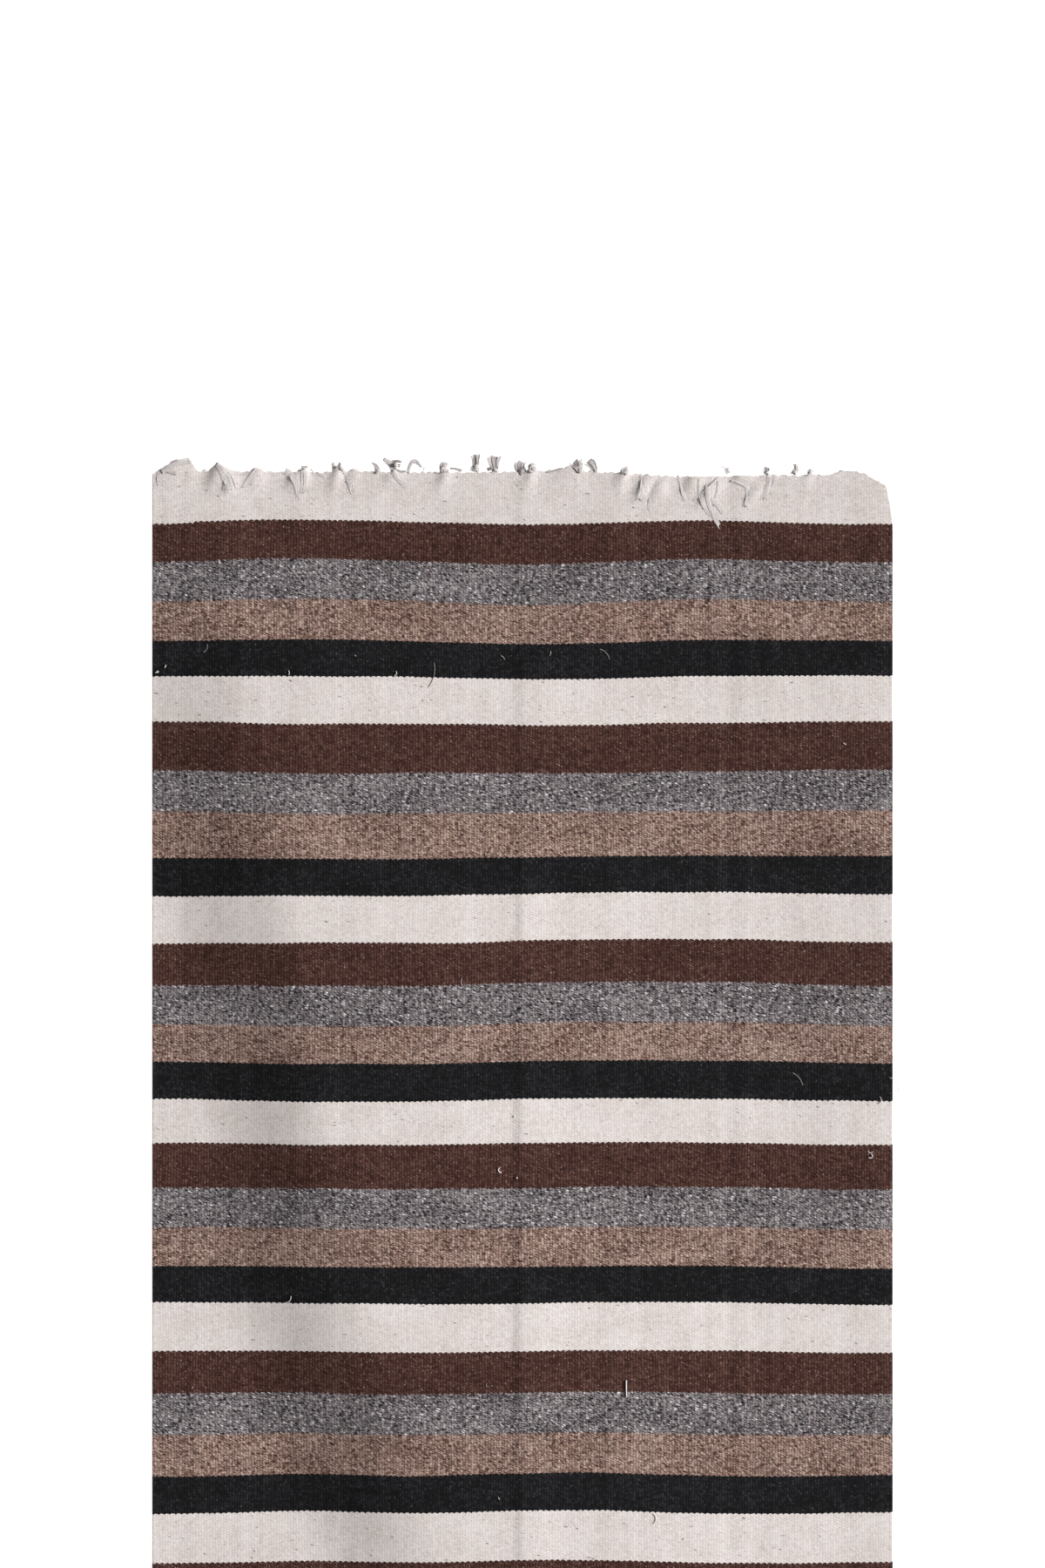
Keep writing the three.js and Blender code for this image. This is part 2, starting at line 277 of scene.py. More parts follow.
# The crease down the middle: where its sharp side lies and how high it stands
CREASE = table(
    ("along", "across", "height"),
    (0.10, 0.003, 0.0002),
    (0.35, 0.002, 0.0006),
    (0.65, 0.000, 0.0008),
    (0.90, -0.001, 0.0008),
    (1.30, 0.002, 0.0006),
    (1.90, 0.004, 0.0003),
    (2.30, 0.003, 0.0000),
)
CREASE_CLIMB = 0.011
CREASE_FALL = 0.055

# The cockles, small uneven swells all over the cloth
COCKLE_HEIGHT = 0.0006
COCKLE_SPACING = 0.060
COCKLE_LENGTH = 0.210
COCKLE_LEVEL = 3.7
COCKLE_START = 0.05

# Widths of the colour bands, one row for each repeat from the head, in millimetres. A last cream band
# closes the cloth, and its own join would lie past the foot.
BANDS = table(
    ("cream", "brown", "grey", "tan", "black"),
    (56.5, 41.4, 43.3, 43.3, 37.6),
    (49.9, 54.6, 42.4, 49.9, 38.6),
    (50.8, 46.1, 43.3, 41.4, 41.4),
    (47.1, 49.9, 42.4, 41.4, 37.6),
    (51.8, 45.2, 44.2, 44.2, 39.5),
    (53.6, 47.5, 43.0, 43.5, 38.5),
    (50.5, 49.0, 42.5, 42.0, 40.0),
    (52.0, 46.0, 44.0, 44.5, 38.0),
    (49.5, 47.5, 43.5, 42.5, 39.5),
    (51.5, 46.5, 42.0, 44.0, 38.5),
    (50.0, 48.0, 43.0, 43.0, 39.0),
)
PAST_FOOT = 0.05

# How far the weft runs off square, in long waves and in small ones that change so many times faster
BAND_WAVE = 0.0052
WAVE_LENGTH = 0.21
WAVE_CHANGE = 0.27
WAVE_PLACE = (5.0, 456.4)
SMALL_WAVE = 0.16
SMALL_WAVE_RATES = (3.3, 7)


def column(rows, name):
    """One column of a table, as an array."""
    return np.array([row[name] for row in rows])


def smooth(share):
    """A share from 0 to 1 eased at both ends."""
    share = np.clip(share, 0, 1)
    return share**2 * (3 - 2 * share)


def peak_at(x, row):
    """How near a place is to one peak of the head's edge, from 0 to 1."""
    reach = np.where(x < row["across"], row["left"], row["right"])
    return smooth(1 - np.abs(x - row["across"]) / reach)


def ragged(x, level):
    """How far an edge strays in and out because the last wefts have worked loose."""
    strayed = [noise.noise(Vector((a / RAGGED_SPACING, level, 0))) for a in np.ravel(x)]
    return RAGGED_EDGE * np.array(strayed).reshape(np.shape(x))


def drop_at(x):
    """How far the head's edge lies back from the head line."""
    drop = np.interp(x, column(HEAD_EDGE, "across"), column(HEAD_EDGE, "drop"))
    drop = drop + ragged(x, RAGGED_HEAD)
    return drop - sum(row["out"] * peak_at(x, row) for row in PEAKS)


def foot_at(x):
    """How far from the head line the foot's edge lies."""
    return CLOTH_LENGTH + ragged(x, RAGGED_FOOT)


def ridge(x, along, rows, crest, climb, fall):
    """Height of a long soft ridge with a sharper left side."""
    places = column(rows, "along")
    middle = np.interp(along, places, column(rows, crest))
    height = np.interp(along, places, column(rows, "height"))
    reach = np.where(x < middle, climb, fall)
    return height * smooth(1 - np.abs(x - middle) / reach)


def cockles(x, along):
    """Small uneven swells of the cloth, longer than wide."""
    swells = [
        noise.noise(Vector((a / COCKLE_SPACING, b / COCKLE_LENGTH, COCKLE_LEVEL)))
        for a, b in zip(x.ravel(), along.ravel(), strict=True)
    ]
    return COCKLE_HEIGHT * np.maximum(0.5 + np.array(swells).reshape(x.shape), 0)


def fold_lift(x, along):
    """Height of the short folds that run down from the peaks of the head's edge."""
    fading = smooth(1 - along / FOLD_LENGTH)
    widening = 1 + np.clip(along, 0, 1) / FOLD_LENGTH * FOLD_SPREAD
    folds = 0
    for row in PEAKS:
        centred = row["across"] + (x - row["across"] + FOLD_LEAN * along) / widening
        folds = folds + row["lift"] * peak_at(centred, row)
    return folds * fading


def pucker_lift(x, along):
    """Height of the small puckers, sharper on their left side."""
    puckers = 0
    for row in PUCKERS:
        down = along - row["along"]
        aside = x - row["across"] + PUCKER_LEAN * down
        reach = np.where(aside < 0, row["wide"] * PUCKER_STEEP_SIDE, row["wide"] * PUCKER_GENTLE_SIDE)
        hump = smooth(1 - np.abs(aside) / reach)
        puckers = puckers + row["lift"] * hump * smooth(1 - np.abs(down) / row["long"])
    return puckers


def cloth_lift(x, along):
    """Height of the cloth's underside over the floor."""
    main = ridge(x, along, RIPPLE, "crest", RIPPLE_CLIMB, RIPPLE_FALL)
    main = main + ridge(x, along, CREASE, "across", CREASE_CLIMB, CREASE_FALL)
    main = main + cockles(x, along) * smooth(along / COCKLE_START)
    return main + fold_lift(x, along) + pucker_lift(x, along)


def weft_wave(x, along):
    """How far the weft runs off square, because it is beaten down by hand."""
    start, level = WAVE_PLACE
    across_rate, along_rate = SMALL_WAVE_RATES
    waves = []
    for a, b in zip(x.ravel(), along.ravel(), strict=True):
        a, b = a / WAVE_LENGTH, b / WAVE_CHANGE
        small = noise.noise(Vector((a * across_rate, b * along_rate, level)))
        waves.append(noise.noise(Vector((a + start, b, level))) + SMALL_WAVE * small)
    return BAND_WAVE * np.array(waves).reshape(x.shape)


def spaced(length, count):
    """Places along a length, evenly spaced but for the rounding at both ends."""
    near = np.array(ROUNDING_STEPS) * EDGE_ROUNDING
    inner = np.linspace(INNER_START * EDGE_ROUNDING, length - INNER_START * EDGE_ROUNDING, count)
    return np.concatenate([near, inner, length - near[::-1]])


shares = spaced(CLOTH_WIDTH, COLUMNS) / CLOTH_WIDTH
depths = spaced(CLOTH_LENGTH, ROWS)
plain_rows = depths[(depths < EDGE_ROWS_END) | (depths > HEAD_ROWS_END + ROW_CLEARANCE)]
depths = np.sort(np.concatenate([plain_rows, np.linspace(HEAD_ROWS_START, HEAD_ROWS_END, HEAD_ROWS)]))
share, depth = np.meshgrid(shares, depths)
near_head = np.clip(1 - depth / EDGE_FADE, 0, 1)
near_foot = np.clip(1 - (CLOTH_LENGTH - depth) / EDGE_FADE, 0, 1)
rough_x = CLOTH_WIDTH * (share - 0.5)
rough_along = depth + drop_at(rough_x) * near_head
inset = np.interp(rough_along, column(DRAWN_CORNER, "along"), column(DRAWN_CORNER, "inset"))
x = rough_x - inset * share
along = depth + drop_at(x) * near_head
along = along + ragged(x, RAGGED_FOOT) * near_foot
lift = cloth_lift(x, along)
from_side = np.minimum(share, 1 - share) * CLOTH_WIDTH
from_end = np.minimum(depth, CLOTH_LENGTH - depth)
inward = np.clip(np.minimum(from_side, from_end) / EDGE_ROUNDING, 0, 1)
thinning = CLOTH_THICKNESS / 2 * (1 - np.sqrt(1 - (1 - inward) ** 2))
top = lift + CLOTH_THICKNESS - thinning
under = lift + thinning

layers = [np.stack([x, HEAD_LINE - along, z], -1).reshape(-1, 3) for z in (top, under)]
rows, columns = x.shape
index = np.arange(rows * columns).reshape(rows, columns)
a, b, c, d = index[:-1, :-1], index[1:, :-1], index[1:, 1:], index[:-1, 1:]
upper = np.stack([a, b, c, d], -1).reshape(-1, 4)
lower = np.stack([a, d, c, b], -1).reshape(-1, 4) + rows * columns
rim = np.concatenate([index[0, :-1], index[:-1, -1], index[-1, :0:-1], index[:0:-1, 0]])
ahead = np.roll(rim, -1)
wall = np.stack([rim, ahead, ahead + rows * columns, rim + rows * columns], -1)

cloth_mesh = bpy.data.meshes.new("runner_cloth_face")
cloth_mesh.from_pydata(np.concatenate(layers).tolist(), [], np.concatenate([upper, lower, wall]).tolist())
cloth_mesh.shade_smooth()
cloth = placed("woven_runner", cloth_mesh)

# Each point of the cloth knows its place along the weft-beaten length, and in which band it lies
beaten = along + weft_wave(x, along)
joins = np.concatenate([[0], np.cumsum([w / 1000 for row in BANDS for w in row.values()])])
joins = np.append(joins, CLOTH_LENGTH + PAST_FOOT)
band = np.interp(beaten, joins, np.arange(len(joins)) / len(BANDS[0]))
for name, values in {"beaten": beaten, "band": band}.items():
    carried = cloth_mesh.attributes.new(name, "FLOAT", "POINT")
    carried.data.foreach_set("value", np.tile(values.ravel(), 2).astype(np.float32))

# The shades of the five wefts, from cream to black in the order of the bands: of the yarn, of its
# lighter and darker fibres, of the patches that it drifts to, and of its slubs, specks and dashes
WEFT_SHADES = {
    "yarn": [(223, 214, 211), (79, 48, 42), (80, 72, 74), (128, 97, 87), (22, 22, 24)],
    "light": [(244, 239, 236), (124, 94, 84), (190, 182, 183), (212, 186, 172), (62, 62, 66)],
    "dark": [(178, 167, 162), (38, 25, 23), (26, 25, 29), (56, 40, 35), (9, 9, 11)],
    "drift": [(219, 209, 204), (81, 49, 43), (94, 82, 86), (136, 101, 89), (25, 24, 26)],
    "slub": [(104, 92, 90), (44, 28, 26), (252, 250, 252), (70, 52, 46), (52, 52, 54)],
    "speck": [(150, 138, 134), (196, 172, 160), (28, 26, 31), (220, 205, 196), (112, 112, 114)],
    "dash": [(150, 136, 130), (38, 24, 22), (22, 20, 25), (74, 54, 47), (60, 60, 62)],
}

# The ways of the five wefts, in the same order: how strongly the fibres, the yarn's slow change, the
# single stitches, the long streaks and the wide patches show, which share of the slubs, specks and
# dashes there is, how deep the ribs are, the tone that the painted shade leaves in the valleys between
# ribs and stitches, and how far the fibres reach over the join with the band before
WEFT_WAYS = {
    "fibres": [0.28, 0.48, 1.20, 0.95, 0.28],
    "runs": [0.12, 0.20, 0.45, 0.40, 0.18],
    "stitches": [0.22, 0.40, 0.34, 0.40, 0.34],
    "streaks": [0.08, 0.18, 0.22, 0.25, 0.12],
    "patches": [0.08, 0.10, 0.20, 0.22, 0.12],
    "slubs": [0.014, 0.03, 0.20, 0.02, 0.015],
    "specks": [0.05, 0.09, 0.14, 0.22, 0.035],
    "dashes": [0.015, 0.03, 0.11, 0.04, 0.01],
    "ribs": [0.40, 0.95, 0.90, 0.95, 0.95],
    "valley_shade": [0.70, 0.30, 0.52, 0.45, 0.35],
    "join": [0.04, 0.04, 0.30, 0.35, 0.08],
}

# Fibres on the face, in millimetres: how long and wide a tuft of them shows, and how it leans. Streaks
# are so many tufts long and wide, and patches have a size of their own.
FIBRE_LENGTH = 4.8
FIBRE_WIDTH = 0.58
FIBRE_LEAN = math.radians(26)
FIBRE_ROUGHNESS = 0.6
STREAK_SIZE = (2.6, 1.9, 1.0)
STREAK_START = (3.3, 8.1, 0)
PATCH_SIZE = (90.0, 36.0, 1.0)

# Stray bits spun into the yarn, in millimetres: the length and width of the cells that they lie in,
# their lean in degrees, and how much of its cell a bit fills
STRAY_BITS = {
    "slub": (7.0, 2.4, 22, 0.34),
    "speck": (3.0, 1.7, 24, 0.30),
    "dash": (9.0, 2.8, 4, 0.36),
}
BIT_LEAST = 0.4
BIT_EDGE = 3.0

# The weave, in millimetres: its ribs wander, its picks wobble, its stitches lean, and the shade of a
# yarn changes slowly along it
WARPS = 266
STITCH_LENGTH = 2.63
STITCH_LEAN = -0.25
STITCH_SHARPNESS = 2.0
STITCH_SINK = 0.75
RIB_WANDER = 2.2
WANDER_RATE = 0.02
PICK_WOBBLE = 1.4
WOBBLE_RATE = 0.11
YARN_CHANGE = 11.0
PICK_STEP = 3.7
FIBRE_SHIFT = (0.7, 0.3, 0)

# The teeth of the joins, as shares of a repeat
SCALLOP_HEIGHT = 0.0080
SCALLOP_LEVEL = 0.8
SCALLOP_CHANCE = 0.25
JOIN_FIBRES = 0.06
HEAD_MARGIN = 0.0005

# How far each kind of unevenness changes the tone, and the marks that the reed leaves along the warps
FIBRE_TONE = 6.5
YARN_TONE = 4.0
STITCH_TONE = 1.6
STREAK_TONE = 6.0
PATCH_TONE = 4.0
REED_TONE = 0.5
REED_MARKS = 16.0
DRIFT_RATE = 0.028
DRIFT_START = 0.42
DRIFT_EDGE = 5.0

# The wool's surface: its sheen, the depth of its relief, and its roughness
WOOL_SHEEN = 0.03
SHEEN_ROUGHNESS = 0.5
WEAVE_RELIEF = 0.2
WEAVE_DEPTH = 0.0004
FIBRE_RELIEF = 0.8
ROUGHNESS_CHANGE = 0.15
WOOL_ROUGHNESS = 0.82


def calc(tree, operation, *values, clamp=False):
    """The result of one sum in a material."""
    inputs = dict(enumerate(values))
    return wire(tree, "ShaderNodeMath", inputs, operation=operation, use_clamp=clamp).outputs[0]


def joined(tree, across, down):
    """A place in a plane, from its two parts."""
    return wire(tree, "ShaderNodeCombineXYZ", {0: across, 1: down}).outputs[0]


def parted(tree, colour):
    """The three parts of a colour."""
    return wire(tree, "ShaderNodeSeparateColor", {0: colour}).outputs


def carried_value(tree, name):
    """A value that the points of the mesh carry."""
    return wire(tree, "ShaderNodeAttribute", attribute_name=name).outputs["Fac"]


def stretched(tree, place, size, turn=(0, 0, 0), start=(0, 0, 0)):
    """A place counted in steps of a size, along and across a lean."""
    inputs = {"Vector": place, "Location": start, "Rotation": turn, "Scale": size}
    return wire(tree, "ShaderNodeMapping", inputs, vector_type="TEXTURE").outputs[0]


def mottled(tree, place, scale=1.0, detail=1.0, roughness=0.5):
    """Soft uneven tone over a plane, from 0 to 1."""
    inputs = {"Vector": place, "Scale": scale, "Detail": detail, "Roughness": roughness}
    return wire(tree, "ShaderNodeTexNoise", inputs, noise_dimensions="2D").outputs["Fac"]


def spun_fibres():
    """A group that gives the tone of spun wool: fibres that lean with the twist, and patches."""
    group = bpy.data.node_groups.new("spun_fibres", "ShaderNodeTree")
    group.interface.new_socket("Place", in_out="INPUT", socket_type="NodeSocketVector")
    for name, value in {"Length": FIBRE_LENGTH, "Width": FIBRE_WIDTH, "Lean": FIBRE_LEAN}.items():
        socket = group.interface.new_socket(name, in_out="INPUT", socket_type="NodeSocketFloat")
        socket.default_value = value
    for name in ("Fibre", "Streak", "Patch"):
        group.interface.new_socket(name, in_out="OUTPUT", socket_type="NodeSocketFloat")
    given = group.nodes.new("NodeGroupInput").outputs
    result = group.nodes.new("NodeGroupOutput").inputs
    turn = wire(group, "ShaderNodeCombineXYZ", {"Z": given["Lean"]}).outputs[0]
    size = wire(group, "ShaderNodeCombineXYZ", {"X": given["Length"], "Y": given["Width"], "Z": 1.0})
    leaning = stretched(group, given["Place"], size.outputs[0], turn)
    coarse = stretched(group, leaning, STREAK_SIZE, start=STREAK_START)
    wide = stretched(group, given["Place"], PATCH_SIZE)
    fibre = mottled(group, leaning, detail=2.0, roughness=FIBRE_ROUGHNESS)
    group.links.new(fibre, result["Fibre"])
    group.links.new(mottled(group, coarse), result["Streak"])
    group.links.new(mottled(group, wide, detail=2.0), result["Patch"])
    return group


FIBRES = spun_fibres()


def by_band(tree, place, values):
    """A value or colour that steps from band to band."""
    ramp = wire(tree, "ShaderNodeValToRGB", {"Fac": place})
    ramp.color_ramp.interpolation = "CONSTANT"
    stops = ramp.color_ramp.elements
    while len(stops) < len(values):
        stops.new(0.5)
    for number, value in enumerate(values):
        stops[number].position = number / len(values)
        stops[number].color = value
    return ramp.outputs["Color"]


def ways_by_band(tree, place, *names):
    """Three of the wefts' ways, each stepping from band to band."""
    rows = [WEFT_WAYS[name] for name in names]
    return by_band(tree, place, [(*ways, 1) for ways in zip(*rows, strict=True)])


def signed(tree, value, strength):
    """A value from 0 to 1 turned to one around 0, made stronger."""
    return calc(tree, "MULTIPLY", calc(tree, "SUBTRACT", value, 0.5), strength)


def from_least(tree, value):
    """A chance from 0 to 1 turned to one from the least to the full size of a stray bit."""
    return calc(tree, "MULTIPLY_ADD", value, 1 - BIT_LEAST, BIT_LEAST)


def strays(tree, place, kind, share):
    """Where the stray bits of a kind lie, as a share of their own shade."""
    length, width, lean, fill = STRAY_BITS[kind]
    laid = stretched(tree, place, (length, width, 1), turn=(0, 0, math.radians(lean)))
    cells = wire(tree, "ShaderNodeTexVoronoi", {"Vector": laid, "Scale": 1.0}, voronoi_dimensions="2D")
    lot = parted(tree, cells.outputs["Color"])
    there = calc(tree, "LESS_THAN", lot["Red"], share)
    edge = calc(tree, "MULTIPLY", fill, from_least(tree, lot["Green"]))
    near = calc(tree, "SUBTRACT", 1.0, calc(tree, "DIVIDE", cells.outputs["Distance"], edge), clamp=True)
    near = calc(tree, "MULTIPLY", near, BIT_EDGE, clamp=True)
    return calc(tree, "MULTIPLY", calc(tree, "MULTIPLY", there, near), from_least(tree, lot["Blue"]))


def squared_from_middle(tree, place):
    """Nought at the middle of a place from 0 to 1, and one at both ends."""
    centred = calc(tree, "MULTIPLY_ADD", place, 2.0, -1.0)
    return calc(tree, "MULTIPLY", centred, centred)


sheen = {"Sheen Weight": WOOL_SHEEN, "Sheen Roughness": SHEEN_ROUGHNESS}
wool, tree, surface = matt_material("banded_wool_weave", sheen)

# Places on the weave, in millimetres: across the warps, and down the beaten weft
point = wire(tree, "ShaderNodeSeparateXYZ", {0: wire(tree, "ShaderNodeTexCoord").outputs["Object"]})
across = calc(tree, "MULTIPLY", point.outputs["X"], 1000)
down = calc(tree, "MULTIPLY", carried_value(tree, "beaten"), 1000)
flat = joined(tree, across, down)

# Each warp makes a rib, and on each rib the weft shows as a column of stitches, half a stitch out of
# step with the columns beside it
warp_pitch = CLOTH_WIDTH * 1000 / WARPS
strayed = calc(tree, "MULTIPLY_ADD", mottled(tree, flat, WANDER_RATE), RIB_WANDER, across)
rib = calc(tree, "DIVIDE", calc(tree, "ADD", strayed, CLOTH_WIDTH * 500), warp_pitch)
rib_number = calc(tree, "FLOOR", rib)
rib_place = calc(tree, "FRACT", rib)
odd = calc(tree, "FLOORED_MODULO", rib_number, 2.0)
dipped = calc(tree, "MULTIPLY_ADD", mottled(tree, flat, WOBBLE_RATE), PICK_WOBBLE, down)
leant = calc(tree, "MULTIPLY_ADD", rib_place, STITCH_LEAN, calc(tree, "DIVIDE", dipped, STITCH_LENGTH))
stitch = calc(tree, "MULTIPLY_ADD", odd, 0.5, leant)
stitch_number = calc(tree, "FLOOR", stitch)
stitch_place = calc(tree, "FRACT", stitch)
tag = joined(tree, rib_number, stitch_number)
chance = wire(tree, "ShaderNodeTexWhiteNoise", {"Vector": tag}, noise_dimensions="2D")

# Each pick of the weft shows on every second rib, and changes shade slowly along its yarn
pick = calc(tree, "SUBTRACT", calc(tree, "MULTIPLY", stitch_number, 2.0), odd)
along_yarn = calc(tree, "DIVIDE", across, YARN_CHANGE)
yarn_run = mottled(tree, joined(tree, along_yarn, calc(tree, "MULTIPLY", pick, PICK_STEP)))
from_rib = squared_from_middle(tree, rib_place)
from_stitch = calc(tree, "POWER", squared_from_middle(tree, stitch_place), STITCH_SHARPNESS)

# Where two wefts meet, the lower one stands up in a scallop over every second warp
scallop = calc(tree, "ABSOLUTE", calc(tree, "COSINE", calc(tree, "MULTIPLY", rib, math.pi / 2)))
scallop = calc(tree, "SQRT", scallop)
uneven = calc(tree, "MULTIPLY_ADD", chance.outputs["Value"], SCALLOP_CHANCE, scallop)
band_m = carried_value(tree, "band")
met = calc(tree, "MULTIPLY_ADD", calc(tree, "SUBTRACT", uneven, SCALLOP_LEVEL), SCALLOP_HEIGHT, band_m)
parts = {0: chance.outputs["Color"], 1: FIBRE_SHIFT}
shift = wire(tree, "ShaderNodeVectorMath", parts, operation="MULTIPLY").outputs[0]
shifted = wire(tree, "ShaderNodeVectorMath", {0: flat, 1: shift}, operation="ADD").outputs[0]
fibres = wire(tree, "ShaderNodeGroup", {"Place": shifted}, node_tree=FIBRES)
fibre = fibres.outputs["Fibre"]
join_place = calc(tree, "FRACT", calc(tree, "ADD", band_m, 0.5 / len(BANDS[0])))
join_mix = ways_by_band(tree, join_place, "join", "join", "join")
met = calc(tree, "ADD", calc(tree, "MULTIPLY", signed(tree, fibre, JOIN_FIBRES), join_mix), met)
repeat_place = calc(tree, "FRACT", calc(tree, "MAXIMUM", met, HEAD_MARGIN))

shades = {
    part: by_band(tree, repeat_place, [shade(*parts) for parts in row])
    for part, row in WEFT_SHADES.items()
}
shows = parted(tree, ways_by_band(tree, repeat_place, "fibres", "runs", "stitches"))
bits = parted(tree, ways_by_band(tree, repeat_place, "slubs", "specks", "valley_shade"))
slow = parted(tree, ways_by_band(tree, repeat_place, "patches", "streaks", "dashes"))
valley_shade = bits["Blue"]

# Each stitch is a small dome, and the ribs are deeper in the tightly beaten bands
rib_sink = calc(tree, "MULTIPLY", from_rib, ways_by_band(tree, repeat_place, "ribs", "ribs", "ribs"))
sink = calc(tree, "MULTIPLY_ADD", from_stitch, STITCH_SINK, rib_sink)
dome = calc(tree, "SUBTRACT", 1.0, sink, clamp=True)

# The yarn's tone, from its fibres, its slow change, the chance of each stitch and the reed's marks
tone = calc(tree, "MULTIPLY", signed(tree, fibre, FIBRE_TONE), shows["Red"])
for source, strength, shown in (
    (yarn_run, YARN_TONE, shows["Green"]),
    (chance.outputs["Value"], STITCH_TONE, shows["Blue"]),
    (fibres.outputs["Streak"], STREAK_TONE, slow["Green"]),
    (fibres.outputs["Patch"], PATCH_TONE, slow["Red"]),
):
    tone = calc(tree, "MULTIPLY_ADD", signed(tree, source, strength), shown, tone)
marks = {"W": calc(tree, "DIVIDE", strayed, REED_MARKS), "Scale": 1.0, "Detail": 3.0}
reed = wire(tree, "ShaderNodeTexNoise", marks, noise_dimensions="1D")
tone = calc(tree, "ADD", signed(tree, reed.outputs["Fac"], REED_TONE), tone)
tint = calc(tree, "SUBTRACT", mottled(tree, flat, DRIFT_RATE, detail=2.0), DRIFT_START)
drifting = calc(tree, "MULTIPLY", tint, DRIFT_EDGE, clamp=True)
coloured = blended(tree, drifting, shades["yarn"], shades["drift"])
coloured = blended(tree, calc(tree, "MULTIPLY", tone, 1.0, clamp=True), coloured, shades["light"])
coloured = blended(tree, calc(tree, "MULTIPLY", tone, -1.0, clamp=True), coloured, shades["dark"])
for kind, share in {"dash": slow["Blue"], "slub": bits["Red"], "speck": bits["Green"]}.items():
    coloured = blended(tree, strays(tree, flat, kind, share), coloured, shades[kind])

# Painted shade: the yarn's colour is darkened where it dips between ribs and stitches, standing in for the
# shade in those hollows
painted_hollow_shade = calc(tree, "MULTIPLY_ADD", dome, calc(tree, "SUBTRACT", 1.0, valley_shade), valley_shade)
painted_hollow_colour = wire(tree, "ShaderNodeCombineColor", {0: painted_hollow_shade, 1: painted_hollow_shade, 2: painted_hollow_shade}).outputs[0]
coloured = blended(tree, 1.0, coloured, painted_hollow_colour, "MULTIPLY")
tree.links.new(coloured, surface.inputs["Base Color"])

rise = calc(tree, "MULTIPLY_ADD", fibre, FIBRE_RELIEF, dome)
relief = wire(tree, "ShaderNodeBump", {"Strength": WEAVE_RELIEF, "Distance": WEAVE_DEPTH, "Height": rise})
tree.links.new(relief.outputs[0], surface.inputs["Normal"])
rough = calc(tree, "MULTIPLY_ADD", fibre, ROUGHNESS_CHANGE, WOOL_ROUGHNESS)
tree.links.new(rough, surface.inputs["Roughness"])
cloth_mesh.materials.append(wool)

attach(cloth, "root")
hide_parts("runner_cloth")

# The warp ends are undyed plied yarn, the same as the hidden warps, left over when the cloth was cut
# from the loom. Small groups are knotted against the last weft and cut short. Most stand out from the
# head's edge as stumps and brushes, and others are laid back over the cream band.
MILLI = 0.001
